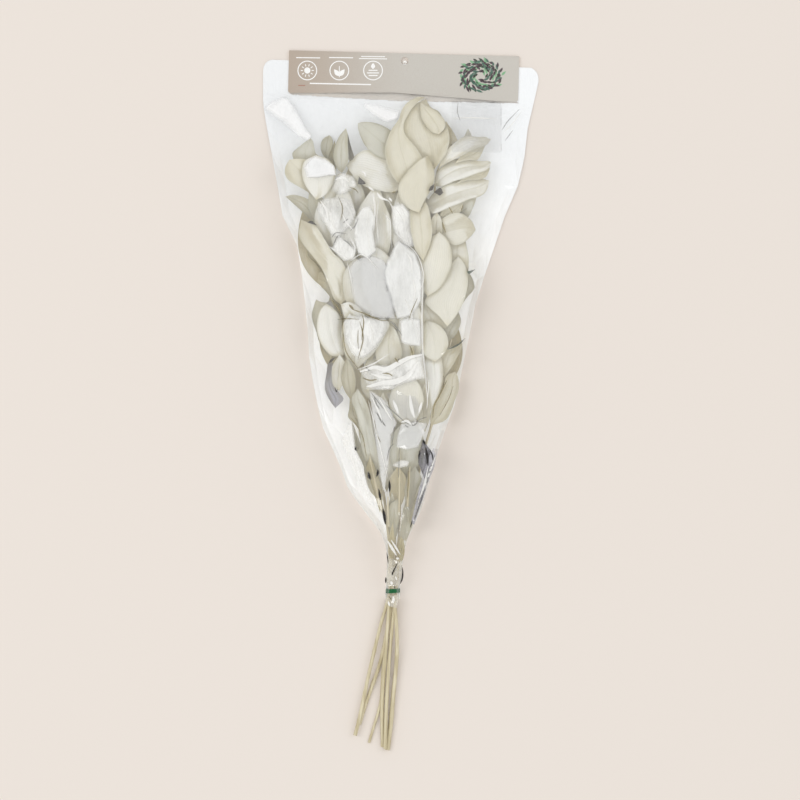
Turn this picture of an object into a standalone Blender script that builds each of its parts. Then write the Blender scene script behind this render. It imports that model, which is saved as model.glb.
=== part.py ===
"""A tied bunch of ivory ruscus stems in a clear tapered sleeve with a folded header card.

The bunch lies on its back: +X to the right, +Y from the cut stems to the card, +Z up from the
surface. Tables are in millimetres, and the meshes are in metres.
"""
import math

import bmesh
import bpy
import numpy as np
from mathutils import Vector

MM = 0.001

# Gaps and sheet thicknesses
GAP = 0.35
FILM_THICK = 0.30
CARD_THICK = 0.40
LABEL_THICK = 0.25
LEAF_THICK = 0.80

# The tie
NECK_X = -8.2
NECK_Y = -191.0
BAND_OUTER = 7.1
BAND_INNER = 6.1
BAND_HEIGHT = 4.2
NECK_Z = BAND_OUTER

# The header card: a strip folded over the sleeve's top, tilted a little clockwise
CARD_FOLD = 347.4
CARD_HALF = 115.4
CARD_X = 3.2
CARD_TILT = -0.026
CARD_INSIDE = 2 * FILM_THICK + 3 * GAP
HOLE_X = 3.7
HOLE_Y = 340.1
HOLE_RADIUS = 3.8
# How far each leaf of the card reaches down from the fold, as (x from the card's middle, drop)
CARD_BACK_EDGE = [(-115, 43.6), (-60, 45.5), (-10, 47.2), (58, 46.8), (115, 46.6)]
CARD_FRONT_EDGE = [(-115, 42.7), (-60, 41.0), (-10, 39.6), (55, 43.2), (95, 45.5), (115, 45.8)]

# The sleeve's outline, as (y, x) from the tail below the band to its top edge
LEFT_EDGE = [
    (-200, -16.3), (-194, -13.8), (-187, -13.8), (-180, -15.6), (-170, -14.3),
    (-150, -14.4), (-134, -19), (-123, -28), (-108, -38), (-95, -51), (-71, -59), (-50, -68),
    (-26, -79), (10, -87), (45, -92.5), (80, -94), (117, -99), (150, -101.5), (178, -117),
    (198, -122.5), (224, -125), (259, -133), (293, -138.6), (325, -138.6), (336, -137.5),
    (340, -134),
]
RIGHT_EDGE = [
    (-200, -0.9), (-194, -2.6), (-187, -2.6), (-180, 1.0), (-161, 1.8),
    (-145, 3.8), (-123, 14), (-99, 25), (-71, 31), (-49, 38), (-21, 47.5), (-5, 54), (36, 62.5),
    (69, 69.5), (97, 75), (128, 85), (160, 96), (198, 109), (206, 114), (232, 123.5),
    (263, 124.5), (305, 134), (324, 138.6), (329, 138), (332, 134),
]
# Height of the side seams, flat height of the back panel and reach of the tube at the neck
SEAM_Z = [
    (-200, 7.1), (-187, 7.1), (-150, 8.6), (-110, 9.0), (0, 10.5), (150, 11.0), (220, 8.5),
    (270, 3.6), (297, 1.5), (303, 1.1), (345, 1.1),
]
TUBE_DEPTH = [
    (-200, 6.4), (-194, 5.6), (-187, 5.6), (-180, 8.0), (-150, 9.0), (-134, 9.0),
    (-110, 9.6), (350, 12.0),
]
FILM_ROWS = [
    -199.5, -197, -194.2, -191, -187.5, -182, -174, -162, -148, -136, -124, -111, -97, -82, -66,
    -49, -31, -12, 8, 28, 48, 68, 88, 108, 128, 148, 168, 188, 207, 226, 244, 260, 275, 286,
    293, 299, 304, 309, 321, 331, 334.6,
]
FILM_COLUMNS = 17
FILM_SHEAR = -0.031

# Stems, as routes from the cut end through the tie to the leafy tip, with radii at both ends
STEMS = {
    "stem_1": (2.5, 1.0, [
        (-13.6, -350.6, 2.5), (-10.1, -323, 3.2), (-7.6, -294, 4.4), (-4.8, -265, 6.2),
        (-3.9, -243, 8.6), (-4.8, -222, 10.6), (-6.3, -206, 11.4), (-8.2, -191, 10.7),
        (-9.6, -172, 11.6), (-10.3, -150, 13.2), (-13.6, -126, 15.0), (-22, -97, 16.5),
        (-31, -58, 19), (-48, 0, 22), (-62, 60, 23), (-73, 120, 23), (-82, 180, 21),
        (-84, 205, 19), (-80, 232, 16)]),
    "stem_2": (1.9, 0.9, [
        (-18.4, -347.6, 1.95), (-18.9, -308, 4.6), (-16.9, -272, 7.4), (-14.6, -242, 8.8),
        (-12.2, -208, 9.2), (-11.3, -191, 8.9), (-11.0, -172, 9.3), (-11.4, -150, 8.8),
        (-13.4, -126, 10.4), (-17, -97, 12.5), (-24, -58, 16), (-33, 0, 20), (-42, 60, 22),
        (-48, 120, 23), (-55, 180, 21), (-60, 225, 18)]),
    "stem_3": (1.25, 0.8, [
        (-32.1, -343.6, 1.3), (-27.7, -329, 1.7), (-22.8, -313, 2.4), (-19.8, -298, 3.0),
        (-18.2, -272, 3.6), (-14.5, -242, 4.8), (-10.2, -208, 6.4), (-8.1, -191, 7.2),
        (-7.4, -172, 9.0), (-6.6, -150, 10.6), (-6.6, -126, 12.0), (-8, -97, 13.5),
        (-10, -58, 17), (-12, 0, 20), (-14, 60, 22), (-15, 120, 23), (-13, 180, 21),
        (-12, 236, 17)]),
    "stem_4": (1.9, 1.0, [
        (-15.9, -349.4, 5.9), (-14.6, -308, 7.4), (-12.6, -272, 8.0), (-10.3, -242, 7.4),
        (-6.9, -208, 7.9), (-5.0, -191, 8.2), (-3.6, -172, 10.6), (-1.9, -150, 11.6),
        (-1.4, -126, 13.2), (-1.4, -97, 15.5), (-1.0, -58, 18), (3, 0, 21), (8, 60, 23),
        (12, 120, 23), (10, 170, 22), (8, 200, 20), (13, 235, 17), (21, 258, 13)]),
    "stem_5": (1.9, 0.9, [
        (-46.0, -336.0, 5.4), (-41.0, -316, 5.7), (-31.6, -272, 6.0), (-20.8, -227, 6.0),
        (-16.4, -212, 5.8), (-13.2, -200, 5.5), (-11.2, -191, 5.3), (-7.8, -172, 5.7),
        (-3.9, -150, 6.3), (0.6, -126, 8.2), (6.5, -97, 11), (11, -58, 15), (20, 0, 20),
        (28, 60, 22), (33, 120, 23), (33, 180, 22), (35, 222, 19), (43, 243, 16)]),
    "stem_6": (1.85, 0.9, [
        (-41.7, -325.2, 1.9), (-35.8, -306, 2.0), (-29.0, -287, 2.1), (-20.6, -262, 2.2),
        (-14.0, -231, 2.6), (-9.8, -204, 3.2), (-8.1, -191, 3.6), (-4.8, -172, 3.9),
        (-0.8, -150, 4.6), (5.8, -126, 6.4), (14, -97, 8.5), (20, -62, 12), (34, -12, 17),
        (46, 40, 20), (54, 90, 22), (59, 140, 22), (62, 195, 20), (66, 232, 17)]),
}
STEM_SIDES = 6
NECK_RADIUS = 1.55

# Leaves behind the stems: base, tip, width, sideways bend, cup, arch, base height, tip height
BACK_LEAVES = [
    (-70, 110, -96, 196, 30, 5, 1.5, 1.5, 8, 9),
    (48, 95, 58, 176, 26, -3, 1.5, 1.5, 8, 8),
    (-40, 120, -44, 214, 32, -3, 1.5, 1.5, 8, 6),
    (24, 120, 38, 212, 32, 3, 1.5, 1.5, 8, 6),
    (-54, 20, -74, 98, 28, 4, 1.5, 1.5, 8, 8),
    (38, 10, 50, 88, 28, -4, 1.5, 1.5, 8, 7),
    (-8, 20, -10, 112, 32, 3, 1.5, 1.5, 8, 6),
    (-26, -62, -32, 14, 22, 3, 1.5, 1.5, 6, 6),
]

# Leaves in front, from the card towards the tie, so that each lies on the bases of those above.
# Base x and y, tip x and y, width, sideways bend, cup across, arch along, rise of the tip, twist
FRONT_LEAVES = [
    (-2, 238, -43, 277, 30, -1, -2.0, 2.0, -3, 0),
    (33, 230, 25, 301, 46, 4, 4.0, 3.0, -14, 2),
    (37, 231, 90, 260, 17, 6, 2.0, 2.0, -4, 1),
    (52, 240, 45, 279, 17, 0, 2.0, 2.0, -4, 0),
    (-74, 240, -72, 265, 12, 0, -2.0, 2.0, 0, 0),
    (-59, 227, -55, 271, 14, 2, 2.5, 2.0, 2, 2),
    (-88, 216, -90, 262, 24, 4, 2.5, 2.0, 2, -2),
    (12, 204, 24, 298, 35, 13, -3.0, 3.0, -18, -1),
    (33, 213, 90, 237, 21, 6, 2.0, 3.0, -3, 1),
    (-88, 200, -111, 239, 30, -4, 2.5, 2.0, 2, 0),
    (-84, 199, -85, 244, 33, -2, -2.0, 3.0, 4, 1),
    (4, 222, -55, 234, 41, 0, 2.5, 3.0, 2, 1),
    (36, 176, 63, 198, 10, 0, 2.0, 2.0, 0, 0),
    (24, 194, 88, 219, 25, 0, -1.5, 3.0, 2, 1),
    (-84, 175, -115, 203, 14, -5, 2.0, 2.0, 0, 0),
    (18, 186, 27, 243, 34, 8, -2.5, 4.0, 6, 1),
    (38, 163, 74, 170, 31, 3, 2.0, 2.0, 0, 0),
    (-28, 126, -24, 210, 36, 2, 2.0, 3.0, 3, 1),
    (-50, 134, -60, 214, 27, 3, -2.0, 3.0, 3, -1),
    (22, 138, 14, 210, 22, -1, 2.5, 3.0, 3, 1),
    (52, 110, 58, 171, 24, -1, 2.0, 3.0, 2, 1),
    (-72, 116, -93, 150, 15, -4, 2.0, 2.0, 0, 0),
    (-60, 95, -99, 180, 26, -4, -2.0, 3.0, 2, 1),
    (26, 103, 38, 167, 33, -1, -2.5, 4.0, 3, 1),
    (46, 73, 57, 143, 37, 5, 2.0, 3.0, 2, 0),
    (-46, 92, -60, 150, 24, 2, 2.0, 3.0, 2, 1),
    (-16, 80, -24, 152, 34, 1, -2.0, 3.0, 2, 0),
    (-68, 99, -84, 119, 12, 0, 1.5, 1.5, 0, 0),
    (8, 76, 4, 150, 34, 0, 2.0, 3.0, 2, 0),
    (-60, 43, -72, 97, 26, 4, -2.5, 3.0, 2, 1),
    (45, 57, 57, 89, 13, 0, 2.0, 2.0, 0, 0),
    (34, 38, 26, 79, 27, -2, -2.0, 3.0, 2, 0),
    (-46, 30, -51, 86, 18, 1, 2.0, 2.0, 1, 1),
    (-45, 30, -17, 82, 22, 2, -2.0, 3.0, 2, 0),
    (8, 32, 8, 106, 25, -1, 2.0, 3.0, 2, 0),
    (-69, 39, -65, -8, 12, -3, 2.0, 2.0, -4, 0),
    (43, 22, 61, 57, 14, 4, 2.0, 2.0, 0, 0),
    (30, -25, 54, 28, 22, -3, 2.0, 3.0, 1, 1),
    (-27, -82, -43, 11, 14, -2, -2.0, 3.0, 1, 1),
    (6, -28, 3, 18, 32, 0, 2.0, 3.0, 2, 0),
    (8, -92, 4, -20, 32, 0, -2.0, 3.0, 1, 0),
]
LEAF_STATIONS = 6
LEAF_ACROSS = 5

# The clear label patch: two opposite corners on the front film
LABEL_LOW = (50.5, 247.0)
LABEL_HIGH = (100.5, 298.5)

# Extent of the height map that each new leaf is laid on
MAP_HALF_X = 160
MAP_HALF_Y = 370


class Ground:
    """The highest surface laid so far, on a grid of 1 mm cells."""

    def __init__(self):
        self.z = np.full((2 * MAP_HALF_X, 2 * MAP_HALF_Y), -10.0)

    def cells(self, points):
        ix = np.clip((points[..., 0] + MAP_HALF_X).astype(int), 1, 2 * MAP_HALF_X - 2)
        iy = np.clip((points[..., 1] + MAP_HALF_Y).astype(int), 1, 2 * MAP_HALF_Y - 2)
        return ix, iy

    def height(self, points):
        ix, iy = self.cells(points)
        return self.z[ix, iy]

    def add(self, points):
        ix, iy = self.cells(points)
        for dx in (-1, 0, 1):
            for dy in (-1, 0, 1):
                np.maximum.at(self.z, (ix + dx, iy + dy), points[..., 2])


def corner_weights(steps):
    """Barycentric weights spread evenly over a triangle."""
    rows = [
        (i / steps, j / steps, 1 - (i + j) / steps)
        for i in range(steps + 1)
        for j in range(steps + 1 - i)
    ]
    return np.array(rows)


SAMPLE_WEIGHTS = corner_weights(14)


def samples(points, triangles):
    """Points spread over each triangle: one row of samples per triangle."""
    corners = points[triangles]
    return np.einsum("kc,tcd->tkd", SAMPLE_WEIGHTS, corners)


def grid_triangles(rows, columns):
    """Two triangles for each cell of a grid whose points are numbered row by row."""
    triangles = []
    for i in range(rows - 1):
        for j in range(columns - 1):
            a = i * columns + j
            b = a + columns
            triangles.append((a, a + 1, b + 1))
            triangles.append((a, b + 1, b))
    return np.array(triangles)


def eased(grid, rounds, free_edges):
    """Averages each point of a grid with its neighbours a few times."""
    out = grid.copy()
    for _ in range(rounds):
        wide = np.pad(out, 1, mode="edge")
        mean = (wide[:-2, 1:-1] + wide[2:, 1:-1] + wide[1:-1, :-2] + wide[1:-1, 2:]) / 4
        if not free_edges:
            mean[:, 0] = grid[:, 0]
            mean[:, -1] = grid[:, -1]
        out = np.maximum(grid, mean)
    return out


def lay_on(ground, surface, clearance, rounds=5):
    """Lifts a grid surface (rows, columns, 3) until all its triangles clear the ground."""
    rows, columns, _ = surface.shape
    triangles = grid_triangles(rows, columns)
    for _ in range(2):
        flat = surface.reshape(-1, 3)
        spread = samples(flat, triangles)
        short = ground.height(spread) + clearance - spread[..., 2]
        worst = np.maximum(short.max(axis=1), 0)
        lift = np.zeros(len(flat))
        for corner in range(3):
            np.maximum.at(lift, triangles[:, corner], worst)
        lift = eased(lift.reshape(rows, columns), rounds, True)
        surface = surface.copy()
        surface[..., 2] += lift
        rounds = 1
    return surface


def catmull_rom(points, spans):
    """A smooth curve through hand-set points, with a number of steps between each two."""
    pts = np.array(points, float)
    ends = np.vstack([2 * pts[0] - pts[1], pts, 2 * pts[-1] - pts[-2]])
    out = []
    for i in range(1, len(ends) - 2):
        p0, p1, p2, p3 = ends[i - 1:i + 3]
        for k in range(spans):
            t = k / spans
            out.append(0.5 * (2 * p1 + (p2 - p0) * t + (2 * p0 - 5 * p1 + 4 * p2 - p3) * t ** 2
                              + (3 * p1 - p0 - 3 * p2 + p3) * t ** 3))
    out.append(pts[-1])
    return np.array(out)


def read_edge(table, y):
    """Reads a table of (y, value) pairs at y."""
    ys, values = zip(*table)
    return np.interp(y, ys, values)


def make_material(name, colour, roughness, alpha=1.0):
    material = bpy.data.materials.new(name)
    material.use_nodes = True
    shader = material.node_tree.nodes["Principled BSDF"]
    shader.inputs["Base Color"].default_value = (*colour, 1.0)
    shader.inputs["Roughness"].default_value = roughness
    shader.inputs["Metallic"].default_value = 0.0
    shader.inputs["Alpha"].default_value = alpha
    return material


def make_object(name, points, faces, material, smooth=True):
    """A closed body from points in millimetres, with its faces turned outwards."""
    mesh = bpy.data.meshes.new(name)
    mesh.from_pydata([tuple(p) for p in np.asarray(points) * MM], [], [tuple(f) for f in faces])
    bm = bmesh.new()
    bm.from_mesh(mesh)
    bmesh.ops.recalc_face_normals(bm, faces=bm.faces)
    if bm.calc_volume(signed=True) < 0:
        bmesh.ops.reverse_faces(bm, faces=bm.faces)
    bm.to_mesh(mesh)
    bm.free()
    if smooth:
        mesh.shade_smooth()
        mesh.set_sharp_from_angle(angle=math.radians(40))
    mesh.materials.append(material)
    obj = bpy.data.objects.new(name, mesh)
    bpy.context.scene.collection.objects.link(obj)
    return obj


def sheet_normals(surface):
    """Unit normals of a grid surface, upwards where it lies flat."""
    along = np.gradient(surface, axis=0)
    across = np.gradient(surface, axis=1)
    normal = np.cross(across, along)
    return normal / np.maximum(np.linalg.norm(normal, axis=2, keepdims=True), 1e-9)


def make_sheet(name, surface, thickness, material):
    """A sheet of even thickness around a grid surface, closed at its rims."""
    rows, columns, _ = surface.shape
    normal = sheet_normals(surface)
    top = (surface + normal * thickness / 2).reshape(-1, 3)
    bottom = (surface - normal * thickness / 2).reshape(-1, 3)
    count = rows * columns
    faces = []
    for a, b, c in grid_triangles(rows, columns):
        faces.append((a, b, c))
        faces.append((c + count, b + count, a + count))
    rim = [j for j in range(columns)]
    rim += [i * columns + columns - 1 for i in range(1, rows)]
    rim += [(rows - 1) * columns + j for j in range(columns - 2, -1, -1)]
    rim += [i * columns for i in range(rows - 2, 0, -1)]
    for a, b in zip(rim, rim[1:] + rim[:1]):
        faces.append((a, b, b + count))
        faces.append((a, b + count, a + count))
    points = np.vstack([top, bottom])
    return make_object(name, points, faces, material), points, np.array(faces)


# Leaves

def leaf_outline(s):
    """Half width along a leaf, as a share of its greatest: rounded base, long pointed tip."""
    return np.sin(np.pi * s ** 0.78) ** 0.85


def leaf_grid(leaf, base_z, tip_z):
    """The middle surface of a leaf between its two end points, without the end points."""
    bx, by, tx, ty, width, bend, cup, arch, _, twist = leaf
    s = np.linspace(0, 1, LEAF_STATIONS + 2)[:, None]
    t = np.linspace(-1, 1, LEAF_ACROSS)[None, :]
    length = math.hypot(tx - bx, ty - by)
    ux, uy = (tx - bx) / length, (ty - by) / length
    half = width / 2 * leaf_outline(np.clip(s, 0, 1))
    side = bend * 4 * s * (1 - s) + half * t
    x = bx + ux * s * length - uy * side
    y = by + uy * s * length + ux * side
    z = base_z + (tip_z - base_z) * s + arch * 4 * s * (1 - s)
    share = half / (width / 2)
    z = z + cup * t ** 2 * share + twist * t * share * (s - 0.4) * 2
    return np.stack([x + 0 * t, y + 0 * t, z + 0 * t], axis=2)


def make_leaf(name, grid, material):
    """A thin lens around a leaf's middle surface, with a sharp margin and pointed ends."""
    inner = grid[1:-1]
    rows, columns, _ = inner.shape
    normal = sheet_normals(grid)[1:-1]
    t = np.linspace(-1, 1, columns)[None, :, None]
    swell = LEAF_THICK / 2 * (1 - t ** 2) + 0 * inner
    top = inner + normal * swell
    bottom = inner - normal * swell
    points = [grid[0].mean(axis=0), grid[-1].mean(axis=0)]
    upper, lower = {}, {}
    for i in range(rows):
        for j in range(columns):
            upper[i, j] = len(points)
            points.append(top[i, j])
            lower[i, j] = upper[i, j]
            if 0 < j < columns - 1:
                lower[i, j] = len(points)
                points.append(bottom[i, j])
    faces = []
    for side, turned in ((upper, False), (lower, True)):
        block = []
        for j in range(columns - 1):
            block.append((0, side[0, j], side[0, j + 1]))
            block.append((1, side[rows - 1, j + 1], side[rows - 1, j]))
            for i in range(rows - 1):
                a, b = side[i, j], side[i, j + 1]
                c, d = side[i + 1, j + 1], side[i + 1, j]
                block.append((a, d, c))
                block.append((a, c, b))
        faces += [f[::-1] for f in block] if turned else block
    points = np.array(points)
    make_object(name, points, faces, material)
    return points, np.array(faces)


def lay_leaf(ground, name, leaf, base_z, tip_z, material):
    grid = leaf_grid(leaf, base_z, tip_z)
    grid = lay_on(ground, grid, GAP + LEAF_THICK / 2 + 0.3)
    grid[0, :, 2] = grid[0, :, 2].max()
    grid[-1, :, 2] = grid[-1, :, 2].max()
    points, faces = make_leaf(name, grid, material)
    ground.add(samples(points, faces))


def local_height(ground, x, y, reach):
    """The ground's greatest height within a square around a point."""
    offsets = np.linspace(-reach, reach, 7)
    xs, ys = np.meshgrid(x + offsets, y + offsets)
    return float(ground.height(np.stack([xs, ys], axis=-1)).max())


def add_back_leaves(ground, material):
    for number, leaf in enumerate(BACK_LEAVES, 1):
        base_z, tip_z = leaf[8], leaf[9]
        shape = leaf[:8] + (0, 0)
        lay_leaf(ground, f"back_leaf_{number}", shape, base_z, tip_z, material)


def add_front_leaves(ground, material):
    for number, leaf in enumerate(FRONT_LEAVES, 1):
        base_z = local_height(ground, leaf[0], leaf[1], 2) + 1.0
        rest_z = local_height(ground, leaf[2], leaf[3], 2) + 1.0
        tip_z = max(rest_z, base_z + leaf[8])
        lay_leaf(ground, f"leaf_{number:02d}", leaf, base_z, tip_z, material)


# Stems

def stem_radius(y, low, high, y_low, y_high):
    """Tapers from the cut end to the tip, and is drawn in at the tie."""
    taper = np.interp(y, [y_low, NECK_Y, y_high], [low, NECK_RADIUS, high])
    return min(taper, NECK_RADIUS) if abs(y - NECK_Y) < 14 else taper


def make_stem(name, low, high, route, material):
    path = catmull_rom(route, 2)
    points, faces = [], []
    for i, centre in enumerate(path):
        ahead = path[min(i + 1, len(path) - 1)] - path[max(i - 1, 0)]
        direction = Vector(ahead).normalized()
        across = Vector((0, 0, 1)).cross(direction).normalized()
        up = direction.cross(across)
        radius = stem_radius(centre[1], low, high, route[0][1], route[-1][1])
        for k in range(STEM_SIDES):
            angle = 2 * math.pi * (k + 0.5) / STEM_SIDES
            spot = Vector(centre) + across * radius * math.cos(angle) + up * radius * math.sin(angle)
            points.append(tuple(spot))
    rings = len(path)
    for i in range(rings - 1):
        for k in range(STEM_SIDES):
            a = i * STEM_SIDES + k
            b = i * STEM_SIDES + (k + 1) % STEM_SIDES
            faces.append((a, b, b + STEM_SIDES))
            faces.append((a, b + STEM_SIDES, a + STEM_SIDES))
    last = (rings - 1) * STEM_SIDES
    for k in range(1, STEM_SIDES - 1):
        faces.append((0, k + 1, k))
        faces.append((last, last + k, last + k + 1))
    points = np.array(points)
    make_object(name, points, faces, material)
    return points, np.array(faces)


# Film sleeve

def film_base(sign):
    """A panel between the side seams before it is stretched over the bunch: 1 front, -1 back."""
    rows = []
    for y_row in FILM_ROWS:
        left, right = read_edge(LEFT_EDGE, y_row), read_edge(RIGHT_EDGE, y_row)
        theta = np.linspace(math.radians(176.5), math.radians(3.5), FILM_COLUMNS)
        x = (left + right) / 2 + (right - left) / 2 * np.cos(theta)
        lean = FILM_SHEAR * np.interp(y_row, [200, 300], [0, 1])
        y = y_row + lean * x
        seam = read_edge(SEAM_Z, y_row)
        depth = read_edge(TUBE_DEPTH, y_row)
        z = seam + sign * (FILM_THICK / 2 + GAP / 2 + depth * np.sin(theta))
        rows.append(np.stack([x, y, z], axis=1))
    return np.array(rows)


def in_card(surface, edge):
    """How far each point of a panel is held flat inside a leaf of the card, from 0 to 1."""
    x = surface[..., 0] - CARD_X
    line = CARD_FOLD + CARD_TILT * x - read_edge(edge, x)
    return np.interp(surface[..., 1] - line, [-8, -2], [0, 1])


def back_film():
    surface = film_base(-1)
    held = in_card(surface, CARD_BACK_EDGE)
    flat = CARD_THICK + GAP + FILM_THICK / 2
    low = FILM_THICK / 2 + (flat - FILM_THICK / 2) * held
    surface[..., 2] = np.maximum(surface[..., 2], low)
    surface[..., 2] = surface[..., 2] * (1 - held) + flat * held
    return surface


def front_film(ground):
    """Stretches the front panel over the bunch, with its seams and its end in the card fixed."""
    surface = film_base(1)
    clearance = GAP + FILM_THICK / 2 + 0.15
    held = in_card(surface, CARD_FRONT_EDGE)
    flat = CARD_THICK + 2 * GAP + 1.5 * FILM_THICK
    start = surface[..., 2].copy()
    middle = FILM_COLUMNS // 2
    tube = np.interp(surface[:, middle, 1], [-150, -110], [1, 0])[:, None]
    tied = np.interp(surface[:, middle, 1], [-183, -176], [1, 0])[:, None]
    floor = ground.height(surface) + clearance
    z = np.maximum(start, floor)
    for _ in range(400):
        wide = np.pad(z, 1, mode="edge")
        mean = (wide[:-2, 1:-1] + wide[2:, 1:-1] + wide[1:-1, :-2] + wide[1:-1, 2:]) / 4
        mean[:, 0], mean[:, -1] = start[:, 0], start[:, -1]
        z = np.maximum(mean, floor)
        z = z * (1 - tube) + np.maximum(start, floor) * tube
        z = z * (1 - held) + flat * held
    surface[..., 2] = z
    lifted = lay_on(ground, surface, clearance, rounds=0)
    lifted[..., 2] = lifted[..., 2] * (1 - held) + flat * held
    lifted[..., 2] = lifted[..., 2] * (1 - tied) + start * tied
    return lifted


# The tie, the card and the label

def add_band(material):
    """A flat elastic ring around the neck, its axis along the stems."""
    half = BAND_HEIGHT / 2
    profile = [
        (BAND_INNER, -half), (BAND_OUTER - 0.3, -half), (BAND_OUTER, -half + 0.4),
        (BAND_OUTER, half - 0.4), (BAND_OUTER - 0.3, half), (BAND_INNER, half),
    ]
    steps = 36
    points, faces = [], []
    for k in range(steps):
        angle = 2 * math.pi * k / steps
        for radius, along in profile:
            points.append((NECK_X + radius * math.cos(angle), NECK_Y + along,
                           NECK_Z + radius * math.sin(angle)))
    ring = len(profile)
    for k in range(steps):
        for j in range(ring):
            a = k * ring + j
            b = k * ring + (j + 1) % ring
            c = ((k + 1) % steps) * ring + (j + 1) % ring
            d = ((k + 1) % steps) * ring + j
            faces.append((a, b, c, d))
    return make_object("neck_band", points, faces, material)


def card_profile(x):
    """The card's middle line in (drop from the fold, z), from the back leaf round to the front."""
    low = CARD_THICK / 2
    radius = (CARD_INSIDE + CARD_THICK) / 2
    back_drop = read_edge(CARD_BACK_EDGE, x)
    front_drop = read_edge(CARD_FRONT_EDGE, x)
    line = [(back_drop, low), (back_drop / 2, low), (radius, low)]
    for k in range(1, 6):
        angle = -math.pi / 2 + math.pi * k / 6
        line.append((radius - radius * math.cos(angle), low + radius + radius * math.sin(angle)))
    high = low + 2 * radius
    for share in (0.0, 0.25, 0.5, 0.75, 1.0):
        drop = radius + (front_drop - radius) * share
        line.append((drop, high + card_bulge(x) * share ** 2))
    return line


def card_bulge(x):
    """How far the front leaf's lower edge stands off the sleeve, most left of the middle."""
    return 5.0 * math.exp(-((x + 30) / 48) ** 2)


def add_card(material):
    """The folded card, swept across its width, with the hang hole cut through both leaves."""
    stations = np.linspace(-CARD_HALF, CARD_HALF, 15)
    rows = []
    for x in stations:
        rows.append([(x, -drop, z) for drop, z in card_profile(x)])
    surface = np.array(rows)
    turn = math.atan(CARD_TILT)
    x, y = surface[..., 0].copy(), surface[..., 1].copy()
    surface[..., 0] = CARD_X + x * math.cos(turn) - y * math.sin(turn)
    surface[..., 1] = CARD_FOLD + x * math.sin(turn) + y * math.cos(turn)
    card, _, _ = make_sheet("header_card", surface, CARD_THICK, material)
    bpy.ops.mesh.primitive_cylinder_add(
        vertices=24, radius=HOLE_RADIUS * MM, depth=20 * MM,
        location=(HOLE_X * MM, HOLE_Y * MM, 2 * MM))
    cutter = bpy.context.object
    cutter.name = "hole_cutter"
    cutter.hide_render = True
    cutter.display_type = "WIRE"
    cut = card.modifiers.new("hang_hole", "BOOLEAN")
    cut.operation = "DIFFERENCE"
    cut.solver = "EXACT"
    cut.object = cutter


def add_label(ground, material):
    xs = np.linspace(LABEL_LOW[0], LABEL_HIGH[0], 7)
    ys = np.linspace(LABEL_LOW[1], LABEL_HIGH[1], 7)
    x, y = np.meshgrid(xs, ys)
    surface = np.stack([x, y, 0 * x], axis=2)
    surface[..., 2] = ground.height(surface) + GAP
    surface = lay_on(ground, surface, GAP + LABEL_THICK / 2, rounds=0)
    make_sheet("clear_label", surface, LABEL_THICK, material)


def build():
    for obj in list(bpy.data.objects):
        bpy.data.objects.remove(obj, do_unlink=True)
    ivory = make_material("ivory_leaf", (0.80, 0.78, 0.70), 0.45)
    pale_stem = make_material("pale_stem", (0.66, 0.61, 0.46), 0.55)
    film = make_material("clear_film", (0.95, 0.96, 0.97), 0.08, 0.3)
    card = make_material("taupe_card", (0.56, 0.51, 0.45), 0.6)
    green = make_material("green_elastic", (0.01, 0.15, 0.06), 0.5)
    label = make_material("clear_label", (0.95, 0.96, 0.97), 0.12, 0.4)
    ground = Ground()
    back, points, faces = make_sheet("back_film", back_film(), FILM_THICK, film)
    ground.add(samples(points, faces))
    add_back_leaves(ground, ivory)
    for name, (low, high, route) in STEMS.items():
        points, faces = make_stem(name, low, high, route, pale_stem)
        ground.add(samples(points, faces))
    add_front_leaves(ground, ivory)
    front, points, faces = make_sheet("front_film", front_film(ground), FILM_THICK, film)
    ground.add(samples(points, faces))
    add_card(card)
    add_label(ground, label)
    add_band(green)


build()
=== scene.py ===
import math

import bpy
import numpy as np
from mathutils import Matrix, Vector, geometry


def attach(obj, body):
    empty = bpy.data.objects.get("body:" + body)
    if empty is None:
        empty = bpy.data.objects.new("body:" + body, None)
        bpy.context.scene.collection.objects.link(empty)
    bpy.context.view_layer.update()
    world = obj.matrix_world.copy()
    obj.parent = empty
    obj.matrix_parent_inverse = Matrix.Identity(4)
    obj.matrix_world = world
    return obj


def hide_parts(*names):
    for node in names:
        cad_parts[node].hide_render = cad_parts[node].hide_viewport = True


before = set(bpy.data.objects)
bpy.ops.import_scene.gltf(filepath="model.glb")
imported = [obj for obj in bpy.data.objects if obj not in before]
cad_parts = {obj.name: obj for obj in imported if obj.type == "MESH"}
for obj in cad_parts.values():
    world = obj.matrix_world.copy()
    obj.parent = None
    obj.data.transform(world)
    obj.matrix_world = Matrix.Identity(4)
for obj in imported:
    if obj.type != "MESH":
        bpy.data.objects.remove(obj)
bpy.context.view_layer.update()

MM = 0.001
BODY = "root"

# The camera looks straight down from where 800 pixels span about 800 mm of the bunch
CAMERA_X = -1.0
CAMERA_HEIGHT = 4012.0
CAMERA_LENS = 180
SENSOR = 36

# The studio, in metres. A softbox has its angle from straight up, its turn, its distance, width
# and height, its brightness, and whether gloss shows it.
FLOOR_COLOUR = (0.80, 0.735, 0.675, 1.0)
FLOOR_HALF = 6.0
FLOOR_TOP = -0.0001
WORLD_STRENGTH = 0.735
SOFTBOXES = {
    "overhead": (0, 90, 6.0, 2.6, 2.6, 0.9, False),
    "left_box": (34, 165, 5.5, 1.3, 3.2, 4.3, False),
    "right_box": (40, 15, 5.5, 0.9, 2.4, 3.4, False),
    "low_box": (27, 268, 5.5, 1.6, 0.9, 4.3, True),
}

# Thickness of each sheet, and the gap between things that lie on each other
GAP = 0.25
FILM_THICK = 0.12
CARD_THICK = 0.40
LABEL_THICK = 0.12
LEAF_THICK = 0.60
INK_THICK = 0.05

# The height map: its half sizes, and its height where nothing lies yet
MAP_HALF_X = 160
MAP_HALF_Y = 370
EMPTY = -10.0

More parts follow.
